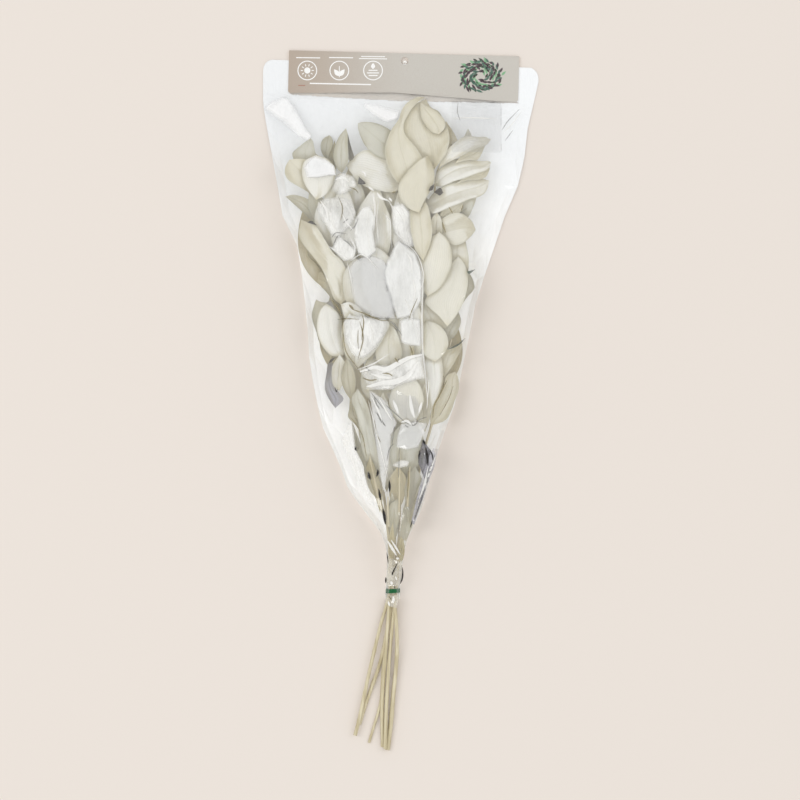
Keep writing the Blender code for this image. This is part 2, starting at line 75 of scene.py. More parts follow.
# The tie: its middle, its radius, and half its width and thickness
NECK_X = -8.2
NECK_Y = -191.0
NECK_Z = 7.1
BAND_RADIUS = 6.75
BAND_HALF = 2.1
BAND_HALF_THICK = 0.42
BAND_STEPS = 96
BAND_SIDES = 16
# How square its section is, how far it gives between the stems, and how far it leans
BAND_SQUARE = 0.6
BAND_PINCH = 0.012
BAND_LEAN = 0.35

# The header card: a strip folded over the sleeve's top, tilted a little clockwise
CARD_FOLD = 347.4
CARD_HALF = 115.4
CARD_X = 3.2
CARD_TILT = -0.026
CARD_RADIUS = 1.025
CARD_CORNER = 2.6
CARD_SIDE = 38.0
CARD_SPACING = 2.6
HOLE_X = 3.7
HOLE_Y = 340.1
HOLE_RADIUS = 3.8
# How far each half of the card reaches down from the fold, as (x from the card's middle, drop)
CARD_BACK_EDGE = [(-115, 43.6), (-60, 45.5), (-10, 47.2), (58, 46.8), (115, 46.6)]
CARD_FRONT_EDGE = [(-115, 42.7), (-60, 41.0), (-10, 39.6), (55, 43.2), (95, 45.5), (115, 45.8)]
# The front half's lower edge stands off the sleeve, most at one place
BULGE = 2.8
BULGE_X = -30
BULGE_WIDTH = 48

# The print's height over the card, how much higher each colour of the wreath lies, and the
# spacing of its points
INK_LIFT = 0.02
INK_STEP = 0.015
INK_SPACING = 3.0
# The card's print: badges, plain rules as (x0, y0, x1, y1, thickness), and an oval wreath
BADGES = [(-93.9, 330.3), (-61.8, 330.2), (-28.0, 330.2)]
BADGE_RADII = (9.9, 8.9)
RULES = [
    (-105, 343.2, -81, 342.9, 1.0), (-72, 343.3, -48, 343.0, 1.0), (-40, 344.4, -16, 344.1, 0.9),
    (-42, 342.3, -14, 341.9, 0.9), (-91.5, 317.4, -30, 316.0, 1.3),
]
RED_RULE = (-103, 315.4, -96, 315.2, 0.9)
WREATH_X = 80.0
WREATH_Y = 325.0
WREATH_HALF_X = 21
WREATH_HALF_Y = 15
# Its leaves: how many, the turn from one to the next, how many places in the core stay empty, and
# how they lean, how long they are and how wide
WREATH_LEAVES = 150
WREATH_SEED = 5
WREATH_TURN = 2.4
WREATH_CORE = 5
WREATH_LEAN = (30, 120)
WREATH_LENGTH = (4.5, 8.0)
WREATH_WIDTH = 2.3
WREATH_TONES = {
    "green": (122, 176, 132), "dark": (34, 42, 32), "teal": (62, 104, 88), "plum": (58, 40, 52),
}

# The clear label patch: two opposite corners on the front film, its darker rim, and how much of
# its lower and upper right corners is cut
LABEL_LOW = (50.5, 247.0)
LABEL_HIGH = (100.5, 298.5)
LABEL_RIM = 0.4
LABEL_LOW_CUT = 1.2
LABEL_HIGH_CUT = 4
LABEL_POINTS = 18
LABEL_SPACING = 2.8
LABEL_SETTLE = 4
LABEL_GAP = 0.1

# The sleeve's outline, as (y, x) from the tail below the band to its top edge
LEFT_EDGE = [
    (-200, -16.3), (-194, -13.8), (-187, -13.8), (-180, -15.6), (-170, -14.3), (-150, -14.4),
    (-134, -19), (-123, -28), (-108, -38), (-95, -51), (-71, -59), (-50, -68), (-26, -79), (10, -87),
    (45, -92.5), (80, -94), (117, -99), (150, -101.5), (178, -117), (198, -122.5), (224, -125),
    (259, -133), (293, -138.6), (326, -138.6), (332, -137.4), (335.5, -134.6), (337.2, -130),
]
RIGHT_EDGE = [
    (-200, -0.9), (-194, -2.6), (-187, -2.6), (-180, 1.0), (-161, 1.8), (-145, 3.8), (-123, 14),
    (-99, 25), (-71, 31), (-49, 38), (-21, 47.5), (-5, 54), (36, 62.5), (69, 69.5), (97, 75), (128, 85),
    (160, 96), (198, 109), (206, 114), (232, 123.5), (263, 124.5), (305, 134), (324, 138.4),
    (330, 137.8), (334.5, 135), (337.2, 131),
]
# The seams' height and the sleeve's depth on each side of them, as (y, value)
SEAM_Z = [
    (-200, 7.1), (-187, 7.1), (-150, 7.4), (-110, 5.0), (-60, 3.4), (0, 3.0), (220, 2.6), (270, 2.0),
    (297, 1.5), (303, 1.1), (345, 1.1),
]
TUBE_DEPTH = [
    (-200, 6.4), (-194, 5.6), (-187, 5.6), (-180, 8.0), (-150, 9.0), (-134, 9.0), (-110, 9.6),
    (350, 12.0),
]
FILM_LOW = -199.5
FILM_HIGH = 337.2
SEAM_ROWS = (316, 323, 327, 330.5, 333.5, 335.8)
FILM_SHEAR = -0.031
# The front panel's height between the halves of the card, and the back panel's
HELD_Z = 1.55
BACK_HELD_Z = 0.9
# From this far below the card's lower edge to this far, the front panel becomes flat
HOLD_FADE = [-7, -0.5]
# Shares of the half width: where facets' corners stand near a seam, how far others stay off
# them, and where the seam begins
NEAR_SEAM = 0.93
SEAM_CLEAR = 0.03
AT_SEAM = 0.999
SEAM_SHIFT = 4
# Half width of the flat frame in which the film's facets are drawn, and the last row of them
FLAT_HALF = 120.0
FACETS_TOP = 280
# Rows at which the facets' height is set, rows at which their width is set, its values at the
# neck, and how far corners stray across and along
FACET_ROWS = [-190, -120, 0, 120]
FACET_COLUMNS = [-190, -60, 60]
NECK_WIDTHS = [30, 20]
STRAY_ACROSS = 0.35
STRAY_ALONG = 0.38
# Corners along the card's lower edge: rows below it, how many in a row, and the row whose width
# they take
CARD_ROWS = (16.0, 7.0, 0.0)
CARD_COLUMNS = 17
CARD_ROW = 298.0
# The panels: seeds, sizes of facets in the body and at the neck, how finely facets are split, and
# how far they bulge. Then the back panel's lowest corners, the height of its creases, and the rows
# above which it is creased and bulges.
FRONT_SEED = 11
FRONT_FACETS = (21.0, 13.0)
FRONT_SPLIT = 7
FRONT_BULGE = (-0.05, 0.15)
BACK_SEED = 23
BACK_FACETS = (30.0, 16.0)
BACK_SPLIT = 6
BACK_BULGE = (0.0, 0.5)
BACK_LOWEST = 0.2
BACK_CREASE = 2.5
BACK_CREASED = -150
BACK_BULGED = -100
# The back panel is held flat from this far below the card's lower edge, and its clear part runs
# from under the back half's edge to over the front half's
BACK_HELD = 3.0
CLEAR_LOW = 0.5
CLEAR_HIGH = 3
# Rows at the neck: below the first the front panel's corners stay put, below the second it isn't
# lifted, and between the last two the tube opens out
NECK_FIXED = -183
NECK_FREE = -180
NECK_TUBE = [-150, -110]
# Ridges of the front panel: rows and heights, the share of corners that have one, and their range
RIDGE_HEIGHTS = ([-170, -60, 40, 230, 280], [0.3, 1.0, 2.4, 2.2, 0.6])
RIDGE_SHARE = 0.45
RIDGE_RANGE = (0.4, 1.0)
# The grid on which the front panel is drawn tight, and how many times it is evened
STRETCH_ROWS = 140
STRETCH_COLUMNS = 71
STRETCH_ROUNDS = 700

# Stems, as radii at both ends and routes from the cut end through the tie to the leafy tip
STEMS = {
    "stem_1": (2.5, 1.0, [(-13.6, -350.6, 2.5), (-10.1, -323, 3.2), (-7.6, -294, 4.4),
        (-4.8, -265, 6.2), (-3.9, -243, 8.6), (-4.8, -222, 10.6), (-6.3, -206, 11.4),
        (-8.2, -191, 10.7), (-9.6, -172, 11.6), (-10.3, -150, 13.2), (-13.6, -126, 15.0),
        (-22, -97, 16.5), (-31, -58, 19), (-48, 0, 22), (-62, 60, 23), (-73, 120, 23), (-82, 180, 21),
        (-84, 205, 19), (-80, 232, 16)]),
    "stem_2": (1.9, 0.9, [(-18.4, -347.6, 1.95), (-18.9, -308, 4.6), (-16.9, -272, 7.4),
        (-14.6, -242, 8.8), (-12.2, -208, 9.2), (-11.3, -191, 8.9), (-11.0, -172, 9.3),
        (-11.4, -150, 8.8), (-13.4, -126, 10.4), (-17, -97, 12.5), (-24, -58, 16), (-33, 0, 20),
        (-42, 60, 22), (-48, 120, 23), (-55, 180, 21), (-60, 225, 18)]),
    "stem_3": (1.25, 0.8, [(-32.1, -343.6, 1.3), (-27.7, -329, 1.7), (-22.8, -313, 2.4),
        (-19.8, -298, 3.0), (-18.2, -272, 3.6), (-14.5, -242, 4.8), (-10.2, -208, 6.4),
        (-8.1, -191, 7.2), (-7.4, -172, 9.0), (-6.6, -150, 10.6), (-6.6, -126, 12.0), (-8, -97, 13.5),
        (-10, -58, 17), (-12, 0, 20), (-14, 60, 22), (-15, 120, 23), (-13, 180, 21), (-12, 236, 17)]),
    "stem_4": (1.9, 1.0, [(-15.9, -349.4, 5.9), (-14.6, -308, 7.4), (-12.6, -272, 8.0),
        (-10.3, -242, 7.4), (-6.9, -208, 7.9), (-5.0, -191, 8.2), (-3.6, -172, 10.6),
        (-1.9, -150, 11.6), (-1.4, -126, 13.2), (-1.4, -97, 15.5), (-1.0, -58, 18), (3, 0, 21),
        (8, 60, 23), (12, 120, 23), (10, 170, 22), (8, 200, 20), (13, 235, 17), (21, 258, 13)]),
    "stem_5": (1.9, 0.9, [(-46.0, -336.0, 5.4), (-41.0, -316, 5.7), (-31.6, -272, 6.0),
        (-20.8, -227, 6.0), (-16.4, -212, 5.8), (-13.2, -200, 5.5), (-11.2, -191, 5.3),
        (-7.8, -172, 5.7), (-3.9, -150, 6.3), (0.6, -126, 8.2), (6.5, -97, 11), (11, -58, 15),
        (20, 0, 20), (28, 60, 22), (33, 120, 23), (33, 180, 22), (35, 222, 19), (43, 243, 16)]),
    "stem_6": (1.85, 0.9, [(-41.7, -325.2, 1.9), (-35.8, -306, 2.0), (-29.0, -287, 2.1),
        (-20.6, -262, 2.2), (-14.0, -231, 2.6), (-9.8, -204, 3.2), (-8.1, -191, 3.6), (-4.8, -172, 3.9),
        (-0.8, -150, 4.6), (5.8, -126, 6.4), (14, -97, 8.5), (20, -62, 12), (34, -12, 17), (46, 40, 20),
        (54, 90, 22), (59, 140, 22), (62, 195, 20), (66, 232, 17)]),
}
STEM_SIDES = 14
STEM_STEP = 3.0
# Within these distances of the tie a stem is drawn in, and has no knots
NECK_RADIUS = 1.55
NECK_REACH = 14
KNOTLESS = 20
KNOTS = 12
KNOT_GAP = (38, 62)
KNOT_SWELL = 0.16
KNOT_LENGTH = 2.6
GROOVES = 5
GROOVE_DEPTH = 0.035

# Leaf stalks that show in front, with their radius
STALKS = {
    "stalk_1": (1.3, [(-31, -56), (-27, -76), (-22, -97), (-18, -112)]),
    "stalk_2": (0.9, [(-1.2, -50), (-1.4, -80), (-1.8, -112)]),
    "stalk_3": (1.1, [(9, -66), (7.6, -86), (6.4, -106)]),
    "stalk_4": (1.2, [(-13, -96), (-13, -110), (-12.4, -126)]),
}
STALK_SIDES = 10
# A stalk rests on the highest thing within this many steps, and thickens from this share of its
# radius to the whole over this share of its length
STALK_REACH = 8
STALK_END = 0.35
STALK_TAPER = 0.4
# Angles in degrees above which an edge is sharp
SHARP_PLANT = 50
SHARP_CARD = 40
SHARP_FILM = 7
SHARP_FOLD = 6


def leaf(name, base, tip, left, right, bend=0.0, cup=2.0, arch=2.5, rise=1.0, tone="ivory"):
    """One leaf: where it starts and ends, its margins on the left and right as one looks from base
    to tip, and its cup, arch, rise and tone. A margin is a list of points or, for a leaf that is
    mostly hidden, a half width with a sideways bend."""
    return dict(name=name, base=base, tip=tip, left=left, right=right, bend=bend, cup=cup,
                arch=arch, rise=rise, tone=tone)


def hidden(name, base, tip, left, right, bend, tone="shade"):
    """A leaf that is mostly hidden, with half widths and a bend."""
    return leaf(name, base, tip, left, right, bend, tone=tone)


def scale(name, base, tip, left, right, cup=0.1, arch=0.2, tone="bark_and_shade"):
    """A small dried scale, dark by default, which also stands in as painted shade for the deep gap it
    lies in.
    """
    return leaf(name, base, tip, left, right, cup=cup, arch=arch, tone=tone)


def numbered(kind, name, rows):
    """Leaves of one kind from the rows of a table, named in their order."""
    return [kind(f"{name}_{number}", *row) for number, row in enumerate(rows, 1)]


# Leaves behind the stems, with the heights of their bases and tips
BACK_LEAVES = [
    (hidden("back_leaf_1", (-70, 110), (-96, 196), 15, 15, 5), 8, 9),
    (hidden("back_leaf_2", (48, 95), (58, 176), 14, 12, -3), 8, 8),
    (hidden("back_leaf_3", (-40, 120), (-44, 214), 16, 16, -3), 8, 6),
    (hidden("back_leaf_4", (24, 120), (38, 212), 16, 16, 3), 8, 6),
    (hidden("back_leaf_5", (-54, 20), (-74, 98), 14, 14, 4), 8, 8),
    (hidden("back_leaf_6", (38, 10), (50, 88), 14, 14, -4), 8, 7),
    (hidden("back_leaf_7", (-8, 20), (-10, 112), 16, 16, 3), 8, 6),
    (hidden("back_leaf_8", (-26, -62), (-32, 14), 11, 11, 3), 6, 6),
]

# Fillers deep between the stems: base, tip, half widths, bend and tone
FILLERS = [
    ((-30, 190), (-48, 240), 16, 16, 3), ((40, 170), (62, 226), 16, 16, -3),
    ((-4, 170), (-14, 232), 18, 18, 2, "ivory"), ((18, 150), (22, 206), 17, 17, -2, "ivory"),
    ((-50, 130), (-74, 190), 16, 16, 3), ((44, 110), (50, 168), 14, 14, -2),
    ((-24, 96), (-36, 158), 18, 18, 2, "ivory"), ((12, 84), (18, 146), 18, 18, -2, "ivory"),
    ((-50, 62), (-62, 120), 15, 15, 3), ((34, 50), (42, 108), 15, 14, -2, "ivory"),
    ((-14, 30), (-22, 92), 17, 17, 2, "ivory"), ((-38, -8), (-50, 50), 12, 12, 2),
    ((14, -20), (24, 44), 14, 13, -2, "ivory"), ((-16, -60), (-24, 2), 12, 12, 2),
    ((8, -84), (14, -22), 9, 9, -2), ((-18, -6), (-30, 46), 15, 15, 2, "ivory"),
    ((4, 48), (0, 104), 15, 15, 1, "ivory"), ((-30, 40), (-40, 96), 14, 14, 2, "ivory"),
    ((0, -66), (-4, -8), 12, 13, 1, "ivory"), ((-26, -96), (-30, -36), 8, 8, 1, "ivory"),
    ((20, 0), (28, 52), 11, 12, -1, "ivory"), ((-14, 134), (-6, 190), 12, 12, -1, "ivory"),
    ((6, 130), (8, 176), 10, 10, 1, "ivory"), ((-6, 58), (2, 92), 11, 11, 1, "ivory"),
    ((-38, 118), (-48, 150), 10, 10, 1, "ivory"),
]

# Dark dried scales that show in the gaps, their dark tone also painted shade of the deep gaps: base,
# tip, margins, cup, arch and tone
SCALES = [
    ((32.5, 206.5), (42, 206.5), [(36, 209.5), (39.5, 211)], [(36, 205), (38.5, 203.5)], 0.3, 0.3),
    ((27.3, 207.5), (33, 214.5), [(29, 211.5)], [(31.5, 209)], 0.2, 0.3),
    ((-43, 215), (-42, 222.5), [(-42.5, 218)], [(-35.5, 215.5), (-39, 220)], 0.2, 0.3),
    ((-65.3, 219), (-61.3, 223.5), [(-65, 221.5)], [(-62.8, 220)], 0.2, 0.3),
    ((-93, 176.3), (-83.3, 173.3), [(-89, 178)], [(-88, 174.6)], 0.2, 0.3),
    ((-74.5, 96), (-65.5, 89.5), [(-70, 98.8)], [(-69.3, 93)], 0.2, 0.3, "dusk"),
    ((-72, 36.5), (-65.3, 42.2), [(-69.8, 40.6)], [(-69, 38)], 0.2, 0.3),
    ((-34.6, 32.8), (-30.4, 28), [(-31.8, 31)], [(-33.7, 29.4)], 0.2, 0.3),
    ((-6.5, 32.8), (-1.8, 41.5), [(-4.8, 37.5)], [(-3, 36)], 0.2, 0.3),
    ((9, 43.5), (12, 54), [(9.6, 48.5)], [(13.5, 46.5)], 0.2, 0.3, "straw"),
    ((-18.5, 20), (-7.8, 24.4), [(-16.5, 25), (-12, 26.4)], [(-15, 23), (-11.5, 24)], 0.2, 0.3,
     "straw"),
    ((-46.5, -45), (-44.2, -50.5), [(-44.6, -47)], [(-46.3, -49)]),
    ((-33, -71), (-29.8, -79.5), [(-30.8, -74.5)], [(-33.3, -77)]),
    ((-23.4, -68.5), (-25, -77), [(-21.6, -73)], [(-24.4, -74)]),
    ((-22.6, -88), (-20.2, -100), [(-19.9, -94)], [(-22.4, -94)]),
    ((-11.5, -79.5), (-11, -92), [(-10, -86)], [(-12.5, -86)]),
    ((-18.6, -108.5), (-14.8, -125), [(-15.2, -114)], [(-17.8, -117)]),
    ((22.4, -39), (24.5, -46.5), [(24.2, -43)], [(20.9, -44)]),
    ((19, -51), (17, -59), [(19.6, -55)], [(17.2, -55)]),
    ((25.5, -48), (26, -72), [(27.6, -58)], [(24, -58)], 0.1, 0.2, "dusk"),
    ((30, -52), (30.4, -59), [(31.8, -55)], [(29.2, -56)]),
]

# Leaves in front, from the back to the front of the pile. Those named leaf_ and a number stand
# for CAD nodes, the others are small ones added here.
FRONT_LEAVES = [
    *numbered(hidden, "fill", FILLERS),
    # Right side, from the tie up
    leaf("leaf_38", (30, -25), (54, 28.5), [(29, -17), (32, -5), (38, 5), (43, 14), (45, 24)],
         [(38, -23), (45, -19.5), (50, -11.5), (53.5, -1), (57, 8), (58, 16), (56.5, 24)], cup=2.5,
         tone="cream"),
    leaf("leaf_37", (43, 22), (61, 57), [(39, 34), (40, 45), (48, 52)], [(47, 28), (53, 37), (57.5, 45),
         (60.5, 51)], tone="cream"),
    leaf("mid_9", (29, -12), (30, 54), [(27, 2), (25.5, 20), (23.5, 38)], [(33, -3), (38, 6),
         (41.5, 20), (41.5, 38), (37, 50)], cup=-2, tone="light"),
    leaf("slip_5", (62, 97), (67, 128), [(60, 110), (62.5, 120)], [(67, 104), (71, 108), (73.5, 112.5),
         (72.5, 118.5), (70, 124)], tone="grey"),
    leaf("leaf_31", (45, 57), (57, 89), [(41, 68), (46, 78), (52, 84)], [(50, 60), (55, 66), (58.5, 73),
         (59.7, 80)], tone="grey"),
    leaf("mid_8", (34, 64), (22, 101), [(22, 70), (16, 82), (16, 93)], [(45, 72), (43, 83), (33, 94)]),
    leaf("leaf_32", (34, 38), (26, 79), [(24, 44), (19, 56), (18.5, 70)], [(42, 45), (47, 54), (45, 66),
         (37, 75)]),
    leaf("leaf_21", (52, 110), (58, 171), [(45, 122), (43, 136), (45, 150), (51, 163)], [(60, 118),
         (66, 128), (67.6, 138), (66.5, 148), (64, 157), (61, 165)]),
    leaf("leaf_25", (46, 73), (57, 143), [(38, 83), (29, 91), (24, 98), (29, 108), (39, 120),
         (46, 132)], [(52, 80), (58, 89), (63, 100), (66, 112), (66.6, 122), (65, 131), (61.5, 138)],
         cup=2.5, arch=3),
    leaf("slip_2", (48, 180), (75, 201.5), [(54, 191), (65, 199)], [(58, 181), (66.5, 182), (70.5, 189),
         (73.5, 196)], tone="grey"),
    leaf("leaf_13", (36, 176), (63, 198), [(40, 187), (50, 193)], [(50, 180), (59, 187)]),
    leaf("leaf_17", (38, 163), (74.5, 170), [(37, 176), (48, 184.5), (58, 186), (66, 182.5),
         (71.5, 177)], [(46, 157), (54, 154), (62, 156.5), (68, 161.5), (72, 166)]),
    leaf("mid_5", (35, 148), (36, 187), [(29, 158), (28, 170), (31, 181)], [(41, 160), (41, 170),
         (40, 180)]),
    leaf("leaf_24", (26, 103), (38, 167), [(20, 112), (17.5, 125), (17, 138), (19, 149), (25, 157),
         (31, 162.5)], [(36, 109), (43, 117.5), (47.5, 126), (50.3, 135), (50.6, 145), (48.5, 155),
         (44, 162)], cup=-2.5, arch=4),
    leaf("leaf_14", (24, 194), (88, 219.3), [(31, 205), (40, 212), (50, 216.5), (60, 219), (70, 220.5),
         (80, 221)], [(31, 185.5), (40, 187.5), (50, 192), (60, 196), (68, 199.5), (76, 202), (83, 206),
         (86.5, 212)], cup=-2, arch=3, tone="light"),
    leaf("slip_7", (54, 215), (89, 232), [(65, 223), (76, 227.5), (84, 230)], [(66, 218.5), (76, 219.5),
         (83.5, 221.5), (86.8, 226)]),
    leaf("leaf_09", (33, 213), (90, 237.5), [(35, 226), (44, 235), (54, 240.5), (66, 241), (78, 238.5),
         (86, 239)], [(42, 213.5), (52, 217.5), (62, 220.5), (70, 223.5), (78, 226.5), (84, 228.5),
         (88, 232)], cup=-2.5, arch=3, tone="light"),
    leaf("slip_1", (54, 236), (84, 254), [(64, 248), (74, 253)], [(66, 239), (76, 239.3), (80.5, 246)]),
    leaf("spike_1", (60, 250), (67, 271.5), [(60, 258), (63.5, 264)], [(69, 256), (70.5, 264)],
         tone="grey"),
    leaf("leaf_04", (52, 240), (45, 279), [(42, 250), (40, 265)], [(57, 250), (56, 260), (51, 269.5)],
         tone="shade"),
    leaf("leaf_03", (37, 231), (90, 260.5), [(43, 245), (52, 255), (60, 261), (67, 263), (77, 262.5),
         (84, 263)], [(45, 235.5), (55, 240.5), (63, 244.5), (70, 248.5), (78, 252), (85, 254.5)],
         cup=2.5, arch=2, tone="light"),
    leaf("mid_2", (-46, 178), (-47, 225), [(-56, 190), (-58, 206), (-54, 219)], [(-38, 190), (-36, 203),
         (-40, 215)], tone="light"),
    leaf("mid_4", (2, 138), (-3, 207), [(-8, 156), (-11, 178)], [(10, 154), (10, 180), (5, 198)],
         tone="light"),
    leaf("leaf_18", (-28, 126), (-23, 218), [(-38, 138), (-44, 152), (-46, 170), (-43, 188),
         (-35, 202)], [(-17, 137), (-11, 152), (-9.5, 168), (-11, 182), (-17, 198)], cup=2.5,
         tone="light"),
    leaf("leaf_20", (22, 138), (14, 210), [(14, 150), (9.5, 166), (8.5, 182), (9.5, 198)], [(28, 152),
         (31, 165), (30, 178), (27, 192), (20, 204)], cup=2.5, tone="cream"),
    # Top
    leaf("leaf_12", (4, 222), (-55, 234.5), [(-4, 208), (-14, 207), (-25, 209.5), (-36, 213),
         (-44, 219), (-50, 227)], [(-4, 236), (-14, 243), (-26, 248), (-36, 249.5), (-44, 245.5),
         (-50, 240)], cup=2.5, arch=3, tone="light"),
    leaf("leaf_01", (-2, 238), (-43, 277), [(-16, 240), (-22, 242), (-28, 246), (-34, 251.5),
         (-38, 258), (-41, 265), (-43, 272)], [(-1, 256), (-7, 266), (-12, 270.5), (-18, 274),
         (-25, 276.7), (-32, 278), (-39, 278)], cup=-2, tone="grey"),
    leaf("leaf_02", (33, 230), (25, 301.5), [(20, 240), (8, 256), (2, 270), (5, 284), (13, 295)],
         [(43, 242), (46.5, 250), (48.3, 259), (47.5, 268), (45, 276), (40.5, 284), (37, 289),
         (30, 293)], cup=3.5, rise=-6, tone="cream"),
    leaf("flap_1", (38, 265), (19.5, 297.5), [(32, 266.5), (26, 272), (21, 280), (19, 289)],
         [(43.5, 271), (44, 278), (40, 284), (36, 288.5), (29, 292.5)], cup=-1.5, arch=1.5,
         tone="cream"),
    leaf("leaf_08", (12, 204), (24.5, 303), [(2, 210), (-8, 222), (-13.5, 233), (-16, 245),
         (-15.5, 253), (-13, 262), (-10, 269), (-6, 275), (-2, 281), (0, 288), (4, 295), (10, 300),
         (17, 303.5)], [(22, 220), (22, 238), (17, 248), (11, 256), (6, 262), (3, 268), (3, 276),
         (6, 283), (10, 290), (15, 296), (20, 300)], cup=3.5, arch=3, rise=-8, tone="cream"),
    # Top left
    leaf("leaf_07", (-88, 216), (-90.5, 262), [(-101, 227), (-106, 238), (-108.5, 246), (-103, 252),
         (-97, 257)], [(-80, 228), (-80, 241), (-85, 246), (-86.5, 252), (-88, 258.5)], tone="grey"),
    leaf("leaf_05", (-74, 240), (-72, 265.5), [(-79, 247), (-80.5, 255), (-78, 261.5)], [(-69.5, 249),
         (-68, 257), (-69.5, 263)], cup=3, tone="grey"),
    leaf("slip_3", (-65, 231), (-66.3, 259.5), [(-70, 237), (-73, 241.5), (-71, 248), (-68.5, 254)],
         [(-64, 240), (-65.5, 248), (-65.5, 255)], tone="olive"),
    leaf("flap_2", (-51, 238), (-54, 268), [(-55, 245), (-56, 256)], [(-47, 242), (-49, 250),
         (-51, 257), (-52.6, 264)], tone="dusk"),
    leaf("leaf_06", (-59, 227), (-55, 271.5), [(-63, 230), (-66, 236), (-67.5, 243), (-66.5, 251),
         (-64, 258.5), (-60.5, 265)], [(-55, 232), (-52.5, 239), (-52.5, 248), (-53, 258),
         (-53.3, 266)], cup=3, tone="grey"),
    leaf("leaf_10", (-88, 200), (-111.5, 239.5), [(-92, 206.5), (-100, 211.5), (-108, 216), (-113, 220),
         (-115.8, 226), (-115, 233)], [(-78, 212), (-80, 228), (-92, 239), (-104, 240.5)], cup=2.5,
         tone="cream"),
    leaf("leaf_15", (-84, 175), (-115.5, 203.7), [(-90.5, 180), (-96, 185.5), (-103, 192),
         (-110, 198.5)], [(-84, 188), (-88, 196), (-94, 201), (-103, 204.5), (-110, 205.2)],
         tone="grey"),
    leaf("slip_4", (-76, 170), (-92, 206), [(-86, 178), (-92, 192)], [(-70, 184), (-77, 200)],
         tone="grey"),
    leaf("mid_1", (-66, 174), (-60, 227), [(-74, 188), (-76, 204), (-70, 218)], [(-53, 186), (-49, 202),
         (-52, 217)], tone="light"),
    leaf("leaf_11", (-84, 199), (-85, 244.5), [(-91, 207), (-97, 217), (-99, 228), (-96, 238)],
         [(-75, 204), (-69, 212), (-65, 222), (-66, 232), (-74, 241)], cup=-2.5, tone="light"),
    # Middle, from the top down
    leaf("mid_3", (-66, 144), (-82, 197), [(-76, 154), (-84, 168), (-86, 182)], [(-60, 162),
         (-67, 184)], tone="light"),
    leaf("leaf_16", (18, 186), (27, 243.5), [(8, 190), (0, 199), (-3, 209), (0, 219), (8, 229),
         (17, 237.5)], [(23, 197), (28.5, 207), (32, 214), (33.3, 222), (32.7, 230), (29.5, 238)],
         cup=-2.5, arch=4, tone="cream"),
    leaf("leaf_19", (-50, 134), (-60, 214), [(-60, 142), (-68, 155), (-71, 172), (-69, 192)],
         [(-44, 148), (-43, 165), (-45, 185), (-51, 205)], cup=2.5, tone="light"),
    leaf("leaf_28", (-68, 99), (-84, 119), [(-74, 107), (-80, 113.5)], [(-66, 112), (-72, 124),
         (-81, 128)], cup=1, tone="olive"),
    leaf("leaf_22", (-72, 116), (-93.5, 150), [(-80, 129), (-86, 137), (-92, 143)], [(-68, 130),
         (-76, 143), (-86, 151)], cup=1, tone="olive"),
    leaf("leaf_26", (-46, 92), (-60, 150), [(-60, 104), (-68, 120), (-68, 138)], [(-42, 108),
         (-44, 128), (-51, 144)]),
    leaf("leaf_23", (-60, 95), (-99.5, 180), [(-67, 101), (-72, 115), (-79, 131), (-88, 143),
         (-95, 152), (-101, 161), (-102, 169)], [(-50, 106), (-52, 122), (-58, 137), (-68, 147),
         (-76, 160), (-84, 172), (-92, 176.5)], cup=2.5),
    leaf("mid_7", (-36, 78), (-46, 142), [(-48, 86), (-56, 102), (-57, 124)], [(-28, 92), (-28, 112),
         (-34, 130)]),
    leaf("leaf_29", (8, 76), (4, 150), [(-5, 88), (-11, 108), (-9, 130)], [(17, 88), (23, 106),
         (21, 126), (13, 140)], tone="light"),
    leaf("leaf_27", (-16, 80), (-24, 152), [(-28, 90), (-38, 108), (-41, 126), (-36, 143)], [(-6, 94),
         (-3, 114), (-7, 134), (-15, 146)], cup=-2, tone="light"),
    leaf("slip_6", (-70, 41), (-85, 100.5), [(-77, 50), (-82, 59), (-84.5, 68), (-88, 78), (-89, 86),
         (-87, 94)], [(-64, 60), (-64, 80), (-71, 95), (-80, 98)], tone="grey"),
    leaf("leaf_30", (-60, 43), (-72, 97.5), [(-70, 44.5), (-78, 53), (-82.5, 63), (-84, 74),
         (-82.5, 84), (-79, 91.5)], [(-55, 48), (-55.5, 58), (-57.5, 70), (-59.5, 81), (-65.5, 90)],
         cup=-2.5, tone="light"),
    leaf("mid_6", (-32, 72), (-60, 95), [(-42, 70), (-54, 77)], [(-38, 88), (-50, 97)], tone="light"),
    leaf("leaf_35", (8, 32), (8, 106), [(0, 42), (-3, 58), (-2, 78), (2, 94)], [(17, 42), (22, 56),
         (22, 76), (17, 94)], tone="light"),
    leaf("mid_11", (-8, 29), (-12, 76), [(-18, 32), (-25, 42), (-24, 55), (-18, 66)], [(-1, 36),
         (1, 46), (-1, 58), (-5, 69)]),
    leaf("leaf_33", (-46, 30), (-51, 86), [(-54, 41), (-58.5, 56), (-58.5, 73)], [(-43, 44), (-40, 58),
         (-41, 74)], cup=-2, tone="light"),
    leaf("leaf_34", (-45, 30), (-17, 82), [(-46, 46), (-43, 63), (-35, 77)], [(-37, 37.5), (-29, 44.5),
         (-22, 53.5), (-16, 64), (-11.5, 75)], cup=2.5, tone="light"),
    # Painted shade: this leaf lies in shadow, so it takes a shaded violet-grey tone
    leaf("leaf_36", (-69.5, 39), (-65.5, -8), [(-66.5, 34), (-67.5, 25), (-66.5, 14), (-61.5, 7),
         (-57.5, 0.5)], [(-73, 36), (-74.5, 26), (-76, 16), (-75.5, 9), (-72.5, 2), (-69, -3.5)],
         tone="shaded_violet"),
    leaf("mid_12", (-62, 9), (-61, 45.5), [(-68, 16), (-68.5, 33)], [(-57, 18), (-54, 33)],
         tone="light"),
    leaf("mid_13", (-50, 0), (-54, 41), [(-56, 9), (-59.5, 20), (-58.5, 31)], [(-46, 8), (-45, 20),
         (-48, 33)], tone="olive"),
    leaf("mid_14", (-34, 10), (16, 34), [(-18, 25), (-4, 34)], [(-16, 11), (-2, 15), (10, 21)],
         tone="light"),
    leaf("mid_15", (24, -32), (24, 16), [(15, -18), (14, 0)], [(29, -16), (28, 2)]),
